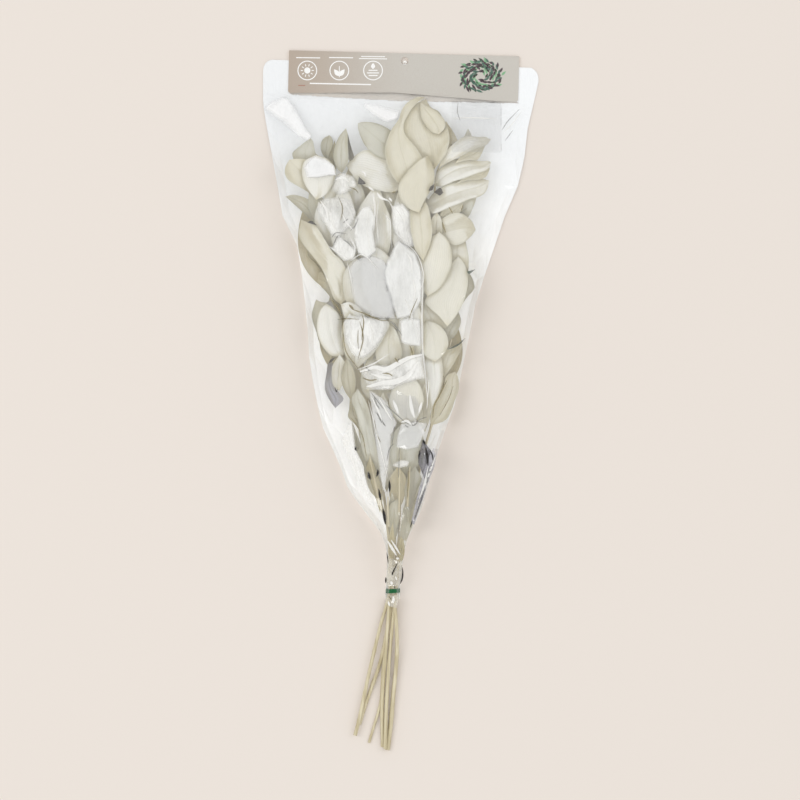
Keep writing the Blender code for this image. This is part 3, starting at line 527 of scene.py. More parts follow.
    leaf("leaf_40", (7, -29), (9, 25), [(-6, -17), (-12, -3), (-8, 11), (0, 20)], [(18, -15),
         (22.5, -2), (20.5, 11), (15, 20)]),
    leaf("mid_17", (-14, -92), (-18, 8), [(-25, -70), (-30, -45), (-29, -16)], [(-7, -70), (-7, -45),
         (-9, -16)], tone="light"),
    leaf("leaf_41", (8, -92), (4, -20), [(-6, -74), (-11, -52), (-8, -34)], [(15, -72), (21, -50),
         (22, -36), (14, -25)], tone="grey"),
    leaf("mid_20", (-33, -78), (-48.5, -22), [(-38.5, -63), (-45.5, -48), (-48.5, -36)], [(-38, -32),
         (-37, -48), (-33, -62)], tone="grey"),
    leaf("mid_16", (-40, -32), (-51, 2), [(-46, -24), (-52.5, -17), (-51.5, -8)], [(-38, -20),
         (-43, -8)], tone="olive"),
    leaf("leaf_39", (-27, -82), (-43, 11), [(-35, -62), (-40, -44), (-41, -30), (-44, -14), (-49, 1)],
         [(-20, -68), (-24, -48), (-28, -30), (-31, -12), (-35.5, 0)], tone="grey"),
    leaf("low_5", (-21, -112), (-31, -56), [(-26, -96), (-31, -79), (-34.5, -68)], [(-18.5, -98),
         (-21.5, -80), (-26, -66)], tone="straw"),
    leaf("mid_18", (-4, -112), (-3, -66), [(-11, -98), (-11, -78)], [(3, -98), (5, -78)], tone="shade"),
    leaf("mid_19", (10, -114), (14, -66), [(4, -98), (5, -80)], [(17, -98), (21, -80)], tone="grey"),
    hidden("low_1", (-6, -138), (-9, -92), 5, 6, 1, tone="grey"),
    leaf("low_8", (10, -118), (24, -77), [(12, -104), (17, -88)], [(17, -108), (22, -94)],
         tone="light"),
    leaf("low_2", (4.9, -141), (3.4, -105), [(-1.5, -136), (0.7, -120.6), (1.8, -110)], [(10.3, -128.3),
         (11.6, -120.6), (8.7, -110.7)], tone="grey"),
    hidden("low_6", (9, -124), (17, -92), 4, 4, -1, tone="olive"),
    leaf("low_3", (-8, -142), (-3, -98), [(-11.5, -128), (-11.6, -106)], [(-5, -132), (-1.6, -116)],
         tone="grey"),
    leaf("low_4", (0, -162), (0, -136), [(-2.6, -154), (-2.2, -142)], [(2.4, -158), (3.6, -150),
         (3, -142)], tone="straw"),
    hidden("low_7", (-9, -160), (-8, -122), 3, 3, 1, tone="straw"),
    *numbered(scale, "scale", SCALES),
    # Bits of green that show in the gaps
    leaf("shoot_1", (65.2, 128), (74.2, 130.7), [(68.5, 128.6)], [(68, 125.4)], cup=0.1, arch=0.4,
         tone="green"),
    leaf("shoot_2", (45.3, 49.6), (64.3, 62), [(52, 53.5), (58, 56.8)], [(52.6, 52), (58.8, 55.6)],
         cup=0.1, arch=0.4, tone="green"),
]
LEAF_ROWS = 40
LEAF_COLUMNS = 21
LEAF_SETTLE = 70
LEAF_TWIST = 0.5
# Height over the pile at which a leaf's ends start before it settles
LEAF_START = 0.8
# Waves, curled margins and keel of a leaf. One narrower than the full width has less of them.
FULL_WIDTH = 14
LEAST_WIDTH = 0.4
WAVE_PITCH = (20, 36)
WAVE_HEIGHT = (0.4, 1.0)
CURL_HEIGHT = (0.2, 1.3)
KEEL_DEPTH = 0.7
KEEL_WIDTH = 0.10
# Leaf tips stay under a dome, so that the pile falls away to the seams and the card
DOME_SIDE = 3.5
DOME_RISE = 28
DOME_TOP = ([235, 295], [1.0, 0.1])
# Distances at which the pile round a point is looked at, and the tone of the painted shade where leaves
# cross
OVERLAP_REACH = (1.3, 2.4, 4.2)
OVERLAP_WAYS = 12
OVERLAP_SHADE = (0.80, 0.77, 0.67, 1.0)

# Leaf tones: light, shade and edge, in 8-bit values as a screen shows them
PALE_EDGE = (196, 193, 172)
LEAF_TONES = {
    "ivory": ((238, 235, 222), (226, 222, 205), PALE_EDGE),
    "cream": ((230, 225, 206), (216, 210, 188), PALE_EDGE),
    "light": ((246, 245, 238), (236, 233, 222), PALE_EDGE),
    "shade": ((230, 223, 198), (214, 205, 174), (188, 176, 140)),
    "grey": ((218, 216, 202), (202, 200, 184), (172, 170, 150)),
    "olive": ((204, 198, 174), (186, 180, 154), (150, 144, 116)),
    "dusk": ((160, 156, 144), (132, 128, 118), (100, 96, 88)),
    "straw": ((218, 210, 178), (196, 186, 148), (150, 138, 98)),
    # A dark scale tone that is partly painted shade of deep gaps
    "bark_and_shade": ((78, 70, 54), (46, 42, 34), (30, 28, 24)),
    "green": ((78, 100, 76), (52, 72, 54), (36, 54, 40)),
    # A violet-grey tone that paints a leaf in shadow
    "shaded_violet": ((188, 188, 197), (172, 171, 182), (146, 146, 156)),
}

# Kinds of film. A fold's haze fades out over the last millimetres to its edge, given as fade. The haze
# of the milky, pale, glare, frosted and white kinds is doubled film whitened further by painted glare
# of highlights and reflections; the dusky and smoky kinds paint shade and dark reflections.
WHITE = (1.0, 1.0, 1.0, 1.0)
FILM_KINDS = {
    "clear": dict(haze=0.05),
    "milky": dict(haze=0.34, rough=0.07, haze_colour=(0.975, 0.975, 0.965, 1.0), shine=0.04, spread=0.06,
                  fade=1.2),
    "pale": dict(haze=0.60, rough=0.07, haze_colour=(1.0, 1.0, 0.975, 1.0), shine=0.02, spread=0.25,
                 fade=2.0),
    "glare": dict(haze=0.5, rough=0.06, haze_colour=(1.0, 0.995, 0.97, 1.0), shine=0.03, spread=0.35,
                  fade=1.8),
    "frost_glare": dict(haze=0.56, rough=0.06, haze_colour=(1.0, 0.995, 0.965, 1.0), shine=0.02, spread=0.55,
                  fade=3.5),
    "white": dict(haze=0.72, rough=0.08, haze_colour=(1.0, 1.0, 0.995, 1.0), shine=0.01, spread=0.1,
                  fade=2.0),
    "dusky_shade": dict(haze=0.5, tint=(0.80, 0.79, 0.82, 1.0), haze_colour=(0.20, 0.195, 0.21, 1.0), shine=0.12,
                  spread=0.95),
    "smoke_shade": dict(haze=0.4, tint=(0.95, 0.95, 0.96, 1.0), haze_colour=(0.55, 0.54, 0.58, 1.0), shine=0.12,
                  spread=0.95),
    "tan": dict(haze=0.3, tint=(1.0, 0.99, 0.97, 1.0), haze_colour=(0.82, 0.79, 0.71, 1.0), shine=0.08,
                spread=0.95),
}

# Crumpled and doubled places of the front panel: outline, size of its facets, their height and
# its kind of film. Their bright haze is painted glare and their dark haze painted shade.
FOLDS = {
    "panel_1": ([(-52, 131), (-48, 137), (-39, 142), (-27, 143), (-17, 139), (-12, 130), (-12, 112),
        (-7, 95), (-5, 80), (-20, 80.5), (-30, 83), (-38, 87), (-46, 93), (-49, 106), (-51.5, 120)], 11,
        0.3, "milky"),
    "panel_2": ([(-3, 159), (8, 152), (15, 147), (19.5, 134), (21, 118), (20, 98), (12, 84), (-4, 80),
        (-10, 96), (-15, 113), (-17, 126), (-14, 139), (-9, 149)], 11, 0.3, "pale"),
    "panel_3": ([(-1, 79), (8, 82), (19, 80), (20.3, 66), (20, 53), (9, 54), (0, 56)], 9, 0.3, "pale"),
    "fold_1": ([(-43, 31), (-30, 36), (-12, 34.5), (2, 40), (14, 45), (23, 47), (24, 34), (25, 21),
        (13, 19), (3, 16), (-8, 10), (-22, 9), (-33, 13)], 5, 0.8, "frost_glare"),
    "fold_2": ([(0, -23.5), (14, -21), (26.5, -23), (22, -37), (17, -47), (6, -49.5), (-5, -47),
        (-4, -36)], 7, 0.6, "milky"),
    "fold_3": ([(-32, 11), (-27.5, 8.5), (-16, 0.5), (-3.5, -22.5), (-9, -35), (-12.5, -66),
        (-16, -92.5), (-18.5, -89), (-22, -66), (-27.5, -26)], 9, 0.6, "milky"),
    "fold_4": ([(-11.5, -65), (-2, -68), (7, -66), (9, -60.5), (0, -59)], 5, 0.4, "glare"),
    "fold_5": ([(-137, 293.5), (-126, 301), (-115, 305), (-105, 292), (-93, 269), (-88, 263),
        (-93, 258), (-105, 264.4), (-120.4, 278.2), (-136.5, 290)], 24, 0.1, "white"),
    "fold_6": ([(-44, 298), (-22, 295.5), (-1, 289), (-3, 279), (-16, 276.5), (-28.6, 284)], 20, 0.1,
        "white"),
    "glare_1": ([(-91, 241), (-85, 244), (-76, 241), (-66, 233), (-64, 223), (-72, 223), (-82, 221),
        (-94, 221), (-97, 231)], 9, 0.6, "white"),
    "crumple_1": ([(-66, 222), (-57, 226), (-47, 223), (-43, 213), (-50, 207), (-62, 203), (-70, 208)],
        6, 0.9, "frost_glare"),
    "crumple_2": ([(-78, 200), (-66, 202), (-50, 200), (-44, 186), (-50, 172), (-62, 160), (-70, 164),
        (-79, 178), (-84, 190)], 6, 0.9, "frost_glare"),
    "crumple_3": ([(-70, 150), (-62, 163), (-52, 158), (-44, 148), (-46, 139), (-57, 137)], 6, 0.7,
        "frost_glare"),
    "crumple_10": ([(-46, 180), (-39, 191), (-31, 193), (-25, 182), (-27, 164), (-24, 148), (-33, 139),
        (-43, 145), (-47, 162)], 9, 0.4, "pale"),
    "crumple_4": ([(-10, 192), (2, 196), (9, 186), (10, 168), (14, 152), (5, 150), (-3, 160),
        (-9, 172)], 5, 0.9, "frost_glare"),
    "crumple_5": ([(-57, 80), (-50, 84), (-40, 84), (-28, 82), (-12, 80), (-14, 68), (-26, 50),
        (-38, 40), (-48, 44), (-56, 58)], 9, 0.5, "frost_glare"),
    "crumple_6": ([(-14, 6), (-4, 10), (6, 4), (14, 4), (20, -8), (14, -22), (2, -22), (-8, -12)], 6,
        0.7, "clear"),
    "crumple_7": ([(21.8, -39.7), (28.7, -48.9), (31, -54.6), (30, -66), (26.5, -83), (23, -78),
        (20, -70), (17, -62), (18, -54), (20, -46)], 4, 1.0, "dusky_shade"),
    "crumple_9": ([(36.8, -48.9), (33.3, -66), (26.4, -83.3), (23, -95), (13, -124), (10, -122),
        (15, -100), (19, -84), (23, -70), (28, -56), (32, -48)], 4, 0.9, "smoke_shade"),
    "neck_1": ([(-13, -157), (-4, -160), (0.5, -163), (1.5, -172), (0.5, -180), (-2, -186), (-14, -186),
        (-15, -178), (-13.5, -168)], 3, 1.2, "tan"),
    "neck_2": ([(-14, -195), (-3, -195), (-3, -202), (-5, -208), (-11, -206), (-15.5, -203)], 3, 0.9,
        "tan"),
    "crumple_8": ([(-52, -22), (-47, -26), (-44, -50), (-34, -76), (-30, -92), (-25, -108), (-34, -100),
        (-48, -72), (-60, -40)], 9, 0.5, "frost_glare"),
}

# Creases of the front panel by tone: haze, colour and height of ridge, then widths and routes
# Crease colours are painted: white and pale ones are painted highlights and glints, tan, grey and dark
# ones painted shadow lines
CREASE_TONES = {
    "tan": (0.55, (158, 146, 108), 0.35), "grey": (0.5, (156, 156, 152), 0.35),
    "white": (0.7, (255, 254, 250), 0.35), "dark": (0.9, (34, 30, 28), 0.35),
    "pale": (0.4, (255, 254, 250), 0.12),
}
CREASES = {
    "tan": [
        (0.9, [(-51.1, 211.3), (-46, 209.5), (-42.4, 205.9)]), (1.2, [(-9.5, 205.6), (-5, 207)]),
        (1.3, [(41.1, 176.6), (42.6, 171), (44.3, 165.8)]), (0.9, [(47.6, 191.8), (51.4, 185.3)]),
        (0.9, [(61.7, 194), (59.5, 187.5)]),
        (1.0, [(-51, 94), (-47.9, 90), (-35.9, 85.5), (-20.7, 79.3), (-11, 79)]),
        (2.2, [(-51.5, 94.5), (-49.5, 92.5), (-47, 90.3)]),
        (1.0, [(-39, 85.5), (-37, 77.9), (-38, 68), (-39, 59.5)]),
        (0.8, [(-57.6, 81), (-57.8, 66), (-57.4, 50)]), (0.7, [(-42.4, 70), (-42.8, 60), (-42.2, 50)]),
        (0.7, [(16, 100.7), (11, 89), (7.5, 79)]), (1.1, [(-68.5, 99.6), (-62, 90), (-57.6, 81.2)]),
        (0.7, [(-63, 80), (-52, 80.6), (-41.4, 80)]), (1.0, [(-40.8, 78), (-37.6, 61), (-42.9, 39.8)]),
        (1.1, [(-57.5, 68), (-54.6, 48.3), (-42.9, 31.3)]),
        (0.9, [(-49.3, -17.7), (-38.7, -34.7), (-34.4, -56)]),
        (1.2, [(8.1, -66.6), (7, -84), (6, -98.5)]), (1.3, [(-12.6, -195.5), (-9.6, -200)]),
        (0.8, [(-26.5, -20), (-24, -34), (-20, -42)]), (1.4, [(-38, 22), (-31, 19.5), (-24, 20.5)]),
        (1.2, [(-18.5, 26.5), (-12, 26), (-8, 23.4)]), (1.5, [(-6, 42), (-4, 38.5), (-1.5, 36.5)]),
        (1.2, [(8.6, 54), (10.6, 49), (11.8, 43.8)]), (0.8, [(-62, 202), (-58, 190), (-60, 178)]),
        (1.4, [(45.6, 19.5), (40, 8), (33, -6), (31.5, -18)]), (0.8, [(52, 14), (47, 0), (38, -16)]),
    ],
    "grey": [
        (0.8, [(-68.5, 161.4), (-64.1, 165.8), (-53.3, 164.7)]),
        (0.9, [(-67.4, 152.8), (-63.6, 161.4), (-60.9, 163.6)]),
        (0.8, [(-57.6, 159.3), (-53, 156.2), (-48.9, 151.7)]), (0.8, [(-57.6, 175.5), (-52.2, 179.9)]),
        (0.8, [(-50, 168), (-45.5, 173), (-42.4, 179.9)]),
        (1.2, [(-11, 78.5), (-5.5, 73.6), (1, 63.8)]), (0.8, [(-30.1, 7.9), (-24, 0), (-17.4, -9.1)]),
        (0.8, [(-25.9, -11.3), (-20, -19), (-15.3, -26.2)]),
        (0.8, [(-15.3, -4.9), (-6, -13), (3.9, -21.9)]),
        (1.1, [(3.9, -21.9), (12.4, -25.2), (18, -20), (25.2, -17)]),
        (0.9, [(-1.4, -47.4), (-2.5, -77.2)]), (0.8, [(-6.7, -26.2), (-8.9, -45.3)]),
        (0.7, [(101, 270), (107, 279), (118.4, 291)]), (0.6, [(104, 259), (112, 270)]),
        (1.4, [(22, -52), (20.8, -64)]), (1.0, [(33.6, -54), (30, -68), (25, -84)]),
        (1.3, [(30.5, -64), (25, -82), (18, -100)]), (0.9, [(-14, -60), (-11.6, -49), (-7, -43)]),
        (1.0, [(-27, 4), (-24.5, -4), (-21, -9)]), (0.6, [(57, 297), (56.4, 288), (59, 279)]),
        (1.1, [(-23.4, -13), (-20.4, -20), (-16, -25.5)]), (0.8, [(3.6, -24.6), (7.4, -27.4)]),
    ],
    "pale": [
        (0.9, [(-18.6, 186.4), (-12.5, 180), (-10.4, 176.6), (-9.9, 159.3), (-8.8, 150.6)]),
        (0.8, [(-7.7, 192.9), (-2, 185), (3.1, 175.5)]),
        (1.1, [(-2.8, 174.4), (-3.4, 164.7), (2, 160.3)]), (0.9, [(-5, 149.5), (-3.9, 138.7)]),
        (1.8, [(20.4, 136), (21.2, 110), (20.8, 80), (21.6, 50), (24.8, 20), (26.6, -8)]),
        (2.6, [(-76, 196), (-70, 184), (-66, 170), (-60, 160)]),
        (2.2, [(-60, 198), (-52, 190), (-47, 178)]), (2.2, [(-71, 152), (-62, 146), (-52, 140)]),
        (1.8, [(-50, 160), (-46, 152), (-47, 142)]), (0.8, [(-30.5, 194), (-33.4, 170), (-31, 150)]),
        (0.8, [(-21.8, 200), (-24, 180), (-22.6, 158)]), (2.0, [(-28, 206), (-26, 190), (-27, 168)]),
        (1.8, [(-3.4, 196), (3, 184), (4.6, 166), (8, 152)]), (1.4, [(-13, 199), (-8, 190), (-5, 178)]),
        (2.4, [(-49.5, 79), (-50.4, 66), (-47, 50)]), (2.2, [(-31, 76), (-28, 64), (-31, 50)]),
        (2.0, [(15, 76), (17, 64), (16, 56)]), (2.0, [(4, 100), (10, 86), (12, 70)]),
    ],
    "white": [
        (0.9, [(4.2, 156), (16.1, 144), (22.6, 122.4), (17.8, 106)]),
        (1.0, [(-53.3, 136.5), (-50, 122.4), (-48.9, 115.9)]),
        (0.8, [(-52, 136.5), (-38, 144), (-22.9, 130)]),
        (1.2, [(-42.9, 30.2), (-25.9, 36.8), (-11, 46.3)]),
        (1.2, [(-36, 11), (-22, 14.5), (-6, 17), (8, 28), (16.6, 39.8)]),
        (0.9, [(25.2, -9.1), (27.3, 12.1), (26, 24)]),
        (1.1, [(-32.3, -0.6), (-26, -26), (-19.5, -51.7), (-13.1, -77.2)]),
        (0.9, [(103, 268), (111, 276), (120, 288)]), (3.6, [(8.8, 5), (10.5, -8), (13.5, -18)]),
        (2.4, [(20.7, -2), (17.5, -13)]), (3.2, [(-8, 0), (-5, -7), (-2.3, -14)]),
        (2.6, [(0, -22), (6, -21), (11, -25.5)]), (2.0, [(-29, 3), (-22, -12), (-18, -24)]),
        (1.6, [(-22, 2), (-15, -10), (-9, -20)]), (2.6, [(-13.5, -140), (-9, -147.5), (-4.5, -155)]),
        (1.8, [(-10, -139), (-5, -147), (-0.8, -154)]), (2.2, [(-5, -157.6), (-2, -158.4)]),
        (2.6, [(-10.2, -181), (-8.6, -184.5)]), (2.4, [(-7.4, -195.8), (-7.6, -203)]),
        (2.0, [(-12.8, -201), (-11.3, -206)]), (1.4, [(-5.5, -176), (-4, -180)]),
        (1.8, [(34, -56), (29, -70), (22, -90)]), (1.4, [(27, -66), (23, -84), (17, -102)]),
        (5.0, [(-40.8, 28), (-26, 32.3), (-15.3, 30.2), (-4.6, 35.5), (8, 41.9), (21, 45)]),
        (5.5, [(-34.4, 13.2), (-19.5, 16.4), (-4.6, 18.5), (8, 25), (16.7, 37.7)]),
        (3.0, [(-30, 26), (-19, 23), (-9, 21.5)]), (2.2, [(1.8, 338.4), (4, 339.2), (6, 338.2)]),
        (1.2, [(52, 281), (70, 282), (96, 281)]), (1.6, [(-40, 228), (-36, 225.5), (-35.5, 222)]),
        (2.6, [(-24, 206), (-20, 201), (-13, 198)]), (2.0, [(-33, 212), (-27, 208)]),
        (2.0, [(-12, 201), (-9, 197)]), (2.4, [(-65, 219), (-58, 221), (-52, 217)]),
        (2.0, [(-80, 198), (-74, 188), (-72, 176)]), (1.8, [(-58, 184), (-54, 176), (-47, 168)]),
        (2.2, [(6, 146), (10, 138), (11, 126)]), (1.6, [(12, 120), (14, 108), (12, 96)]),
    ],
    "dark": [
        (1.3, [(-3.5, -162.7), (-8.1, -171.9), (-8.9, -175)]), (1.6, [(-15.2, -177), (-15.2, -183)]),
        (1.7, [(1.3, -167), (1.7, -173), (1.0, -179), (-0.8, -183.5)]),
        (0.9, [(-14.2, -152), (-12.7, -163)]), (1.6, [(-45.8, -47.5), (-44.6, -50.2)]),
        (2.0, [(-32.2, -72), (-30.5, -78.7)]), (1.8, [(-22.8, -69.5), (-24, -75.5)]),
        (2.1, [(-21.9, -89), (-20.4, -99.4)]), (1.9, [(-11.6, -80), (-11.2, -91.4)]),
        (2.4, [(-18, -108), (-16.9, -115), (-15.6, -123.5)]), (2.4, [(21.6, -39.6), (24, -44)]),
        (1.0, [(28.7, -48.9), (31, -54.6), (31.6, -60)]), (2.6, [(24.5, -47), (26, -56), (26.7, -65)]),
        (1.2, [(18.6, -50), (17.6, -58.5)]), (0.7, [(24, -88), (18.5, -104), (13, -119)]),
        (1.1, [(11, -120), (9.2, -127)]), (0.8, [(-65.6, 12.4), (-64.2, 8.2), (-63, 10.8)]),
        (0.8, [(-34.5, 32.6), (-33, 30.4), (-30.8, 29.4)]),
    ],
}
# Folds: how high their corners may stand, as a share of the height, and how finely they are split
FOLD_RISE = 2.2
FOLD_SPLIT = 3
# Creases: the width at their ends, as a share of the width, and how far round a point the film's
# height is read
CREASE_END = 0.25
CREASE_REACH = 1.2


# Height map and laying

class Ground:
    """The highest surface laid so far, on a grid of 1 mm cells."""

    def __init__(self):
        self.z = np.full((2 * MAP_HALF_X, 2 * MAP_HALF_Y), EMPTY)

    def cells(self, points):
        ix = np.clip((points[..., 0] + MAP_HALF_X).astype(int), 1, 2 * MAP_HALF_X - 2)
        iy = np.clip((points[..., 1] + MAP_HALF_Y).astype(int), 1, 2 * MAP_HALF_Y - 2)
        return ix, iy

    def height(self, points):
        return self.z[self.cells(points)]

    def highest(self, points, reach):
        """The greatest height in a square around each point, read at every second millimetre."""
        offsets = range(-reach, reach + 1, 2)
        return np.max([self.height(points + (dx, dy, 0)) for dx in offsets for dy in offsets], axis=0)

    def level(self, x, y, reach):
        """The greatest height in a square around one place."""
        offsets = np.linspace(-reach, reach, 7)
        xs, ys = np.meshgrid(x + offsets, y + offsets)
        return float(self.height(np.stack([xs, ys], axis=-1)).max())

    def add(self, points):
        ix, iy = self.cells(points)
        for dx in (-1, 0, 1):
            for dy in (-1, 0, 1):
                np.maximum.at(self.z, (ix + dx, iy + dy), points[..., 2])


def corner_weights(steps):
    """Barycentric weights spread evenly over a triangle."""
    rows = [(i / steps, j / steps, 1 - (i + j) / steps)
            for i in range(steps + 1) for j in range(steps + 1 - i)]
    return np.array(rows)


def samples(points, triangles, steps=4):
    """Points spread over each triangle: one row of samples per triangle."""
    return np.einsum("kc,tcd->tkd", corner_weights(steps), points[triangles])


def grid_triangles(rows, columns):
    """Two triangles for each cell of a grid whose points are numbered row by row."""
    a = (np.arange(rows - 1)[:, None] * columns + np.arange(columns - 1)[None, :]).ravel()
    b = a + columns
    return np.vstack([np.stack([a, a + 1, b + 1], axis=1), np.stack([a, b + 1, b], axis=1)])


def neighbour_mean(grid):
    """The mean of each point's four neighbours."""
    wide = np.pad(grid, 1, mode="edge")
    return (wide[:-2, 1:-1] + wide[2:, 1:-1] + wide[1:-1, :-2] + wide[1:-1, 2:]) / 4


def shortfall(ground, points, triangles, clearance, steps):
    """How far each point has to rise for the triangles around it to clear the ground."""
    spread = samples(points, triangles, steps)
    short = (ground.height(spread) + clearance - spread[..., 2]).max(axis=1)
    rise = np.zeros(len(points))
    for corner in range(3):
        np.maximum.at(rise, triangles[:, corner], short)
    return rise


def lay_on(ground, surface, clearance, rounds):
    """Lifts a grid surface (rows, columns, 3) until its triangles clear the ground."""
    rows, columns, _ = surface.shape
    triangles = grid_triangles(rows, columns)
    for turn_rounds in (rounds, 2):
        rise = shortfall(ground, surface.reshape(-1, 3), triangles, clearance, 4)
        rise = rise.reshape(rows, columns)
        lift = rise
        for _ in range(turn_rounds):
            lift = np.maximum(rise, neighbour_mean(lift))
        surface = surface.copy()
        surface[..., 2] += lift
    return surface


def lift_over(ground, points, faces, clearance, free):
    """Raises a fine mesh until its triangles clear the ground, then evens the rise. Free is the
    share of its rise that each point may take."""
    for rounds in (6, 1, 1):
        lift = shortfall(ground, points, faces, clearance, 3)
        for _ in range(rounds):
            near, count = np.zeros(len(points)), np.zeros(len(points))
            for corner in range(3):
                np.add.at(near, faces[:, corner], lift[faces].mean(axis=1))
                np.add.at(count, faces[:, corner], 1)
            lift = np.maximum(lift, near / np.maximum(count, 1))
        points = points.copy()
        points[:, 2] += lift * free
    return points


# Curves and edges

def read_edge(table, y):
    """Reads a table of (y, value) pairs at y."""
    ys, values = zip(*table)
    return np.interp(y, ys, values)


def catmull_rom(points, spans):
    """A smooth curve through given points, with a number of steps between each two."""
    pts = np.array(points, float)
    ends = np.vstack([2 * pts[0] - pts[1], pts, 2 * pts[-1] - pts[-2]])
    out = []
    for i in range(1, len(ends) - 2):
        p0, p1, p2, p3 = ends[i - 1:i + 3]
        for k in range(spans):
            t = k / spans
            out.append(0.5 * (2 * p1 + (p2 - p0) * t + (2 * p0 - 5 * p1 + 4 * p2 - p3) * t ** 2
                              + (3 * p1 - p0 - 3 * p2 + p3) * t ** 3))
    out.append(pts[-1])
    return np.array(out)


def distances(path):
    """How far along a path each of its points lies."""
    return np.concatenate([[0], np.cumsum(np.linalg.norm(np.diff(path, axis=0), axis=1))])


def points_along(path, spots):
    """The points of a path at the given distances along it."""
    span = distances(path)
    return np.stack([np.interp(spots, span, column) for column in path.T], axis=1)


def circle(x, y, radius, steps):
    """Points of a circle, anticlockwise from its right."""
    angles = np.linspace(0, 2 * math.pi, steps + 1)[:-1]
    return [(x + radius * math.cos(a), y + radius * math.sin(a)) for a in angles]


# Meshes

def make_piece(name, points, faces, materials, slot, replaces=(), sharp=35, uv=None, index=None):
    """A piece from points in millimetres that rides on the body and stands for CAD nodes."""
    mesh = bpy.data.meshes.new(name)
    mesh.from_pydata((np.asarray(points) * MM).tolist(), [], [list(map(int, f)) for f in faces])
    mesh.shade_smooth()
    mesh.set_sharp_from_angle(angle=math.radians(sharp))
    for material in materials:
        mesh.materials.append(material)
    if uv is not None:
        store(mesh, "place", uv)
    if index is not None:
        mesh.polygons.foreach_set("material_index", index)
    piece = bpy.data.objects.new(name, mesh)
    bpy.context.scene.collection.objects.link(piece)
    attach(piece, BODY)
    if replaces:
        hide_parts(*replaces)
    return piece


def store(mesh, name, pairs):
    """Keeps two values for each point of a mesh in a UV layer, for its material."""
    corners = np.array([loop.vertex_index for loop in mesh.loops])
    layer = mesh.uv_layers.new(name=name)
    layer.data.foreach_set("uv", np.asarray(pairs, float)[corners].ravel())


def joined(parts):
    """The points and faces of several meshes, taken together."""
    points, faces, start = [], [], 0
    for part_points, part_faces in parts:
        points.append(part_points)
        faces += [[i + start for i in face] for face in part_faces]
        start += len(part_points)
    return np.vstack(points), faces


def tube_faces(rings, sides, looped=False):
    """Faces of a tube made of rings of points, with a cap at each end or looped into a ring."""
    faces = []
    for i in range(rings if looped else rings - 1):
        ahead = ((i + 1) % rings - i) * sides
        for k in range(sides):
            a, b = i * sides + k, i * sides + (k + 1) % sides
            faces.append((a, b, b + ahead, a + ahead))
    if not looped:
        last = (rings - 1) * sides
        faces.append(tuple(range(sides))[::-1])
        faces.append(tuple(last + k for k in range(sides)))
    return faces


def vertex_normals(points, triangles):
    """Area-weighted unit normals of a triangle mesh."""
    corners = points[triangles]
    face = np.cross(corners[:, 1] - corners[:, 0], corners[:, 2] - corners[:, 0])
    normal = np.zeros_like(points)
    for corner in range(3):
        np.add.at(normal, triangles[:, corner], face)
    return normal / np.maximum(np.linalg.norm(normal, axis=1, keepdims=True), 1e-12)


def rim_edges(triangles):
    """The directed edges that only one triangle uses."""
    edges = np.vstack([triangles[:, [0, 1]], triangles[:, [1, 2]], triangles[:, [2, 0]]])
    used = {tuple(e) for e in edges.tolist()}
    return [(a, b) for a, b in used if (b, a) not in used]


def thin_solid(points, triangles, thickness):
    """Points and faces of a closed sheet around a surface: top, bottom and rim, in this order."""
    normal = vertex_normals(points, triangles)
    count = len(points)
    both = np.vstack([points + normal * thickness / 2, points - normal * thickness / 2])
    rim = [(b, a, a + count, b + count) for a, b in rim_edges(triangles)]
    return both, triangles.tolist() + (triangles[:, ::-1] + count).tolist() + rim


def anticlockwise(outline):
    """The points of a closed outline, turned round if they run clockwise."""
    outline = np.asarray(outline, float)
    ahead = np.roll(outline, -1, axis=0)
    area = (outline[:, 0] * ahead[:, 1] - ahead[:, 0] * outline[:, 1]).sum()
    return outline if area > 0 else outline[::-1]


def outline_mesh(outline, holes=(), spacing=4.0, random=None):
    """Triangles inside a flat outline, with inner points at about the given spacing. They stand
    in rows, or are scattered if there is a random source."""
    rings = [anticlockwise(ring) for ring in (outline, *holes)]
    low, high = rings[0].min(axis=0), rings[0].max(axis=0)
    xs = np.arange(low[0] + spacing / 2, high[0], spacing)
    ys = np.arange(low[1] + spacing / 2, high[1], spacing)
    inner = np.array([(x, y) for x in xs for y in ys]).reshape(-1, 2)
    if random is not None:
        inner = inner + random.uniform(-0.4, 0.4, inner.shape) * spacing
    edges, faces, start = [], [], 0
    for ring in rings:
        if len(inner):
            gap = np.linalg.norm(inner[:, None] - ring[None], axis=2).min(axis=1)
            inner = inner[gap > spacing * 0.45]
        count = len(ring)
        edges += [(start + k, start + (k + 1) % count) for k in range(count)]
        faces.append([start + k for k in range(count)])
        start += count
    points = [Vector(p) for p in np.vstack(rings + [inner])]
    made = geometry.delaunay_2d_cdt(points, edges, faces, 1, 1e-7)
    flat = np.array([tuple(v) for v in made[0]])
    return flat, np.array([face for face, origin in zip(made[2], made[5]) if origin == [0]])


def refined(points, triangles, steps, bubble=0.0):
    """Splits each facet into small triangles, with a slight bulge of its own."""
    weights = corner_weights(steps)
    index = {}
    for n, (a, b, _) in enumerate(np.rint(weights * steps).astype(int)):
        index[a, b] = n
    small = []
    for a in range(steps):
        for b in range(steps - a):
            small.append((index[a, b], index[a + 1, b], index[a, b + 1]))
            if a + b < steps - 1:
                small.append((index[a + 1, b], index[a + 1, b + 1], index[a, b + 1]))
    spots = samples(points, triangles, steps)
    spots[..., 2] += 27 * weights.prod(axis=1)[None, :] * np.reshape(bubble, (-1, 1))
    starts = np.arange(len(triangles)) * len(weights)
    faces = (np.array(small)[None] + starts[:, None, None]).reshape(-1, 3)
    flat = spots.reshape(-1, 3)
    _, first, where = np.unique(np.rint(flat * 2000).astype(np.int64), axis=0,
                                return_index=True, return_inverse=True)
    faces = where.ravel()[faces]
    good = (faces != np.roll(faces, 1, axis=1)).all(axis=1)
    return flat[first], faces[good]


# Materials

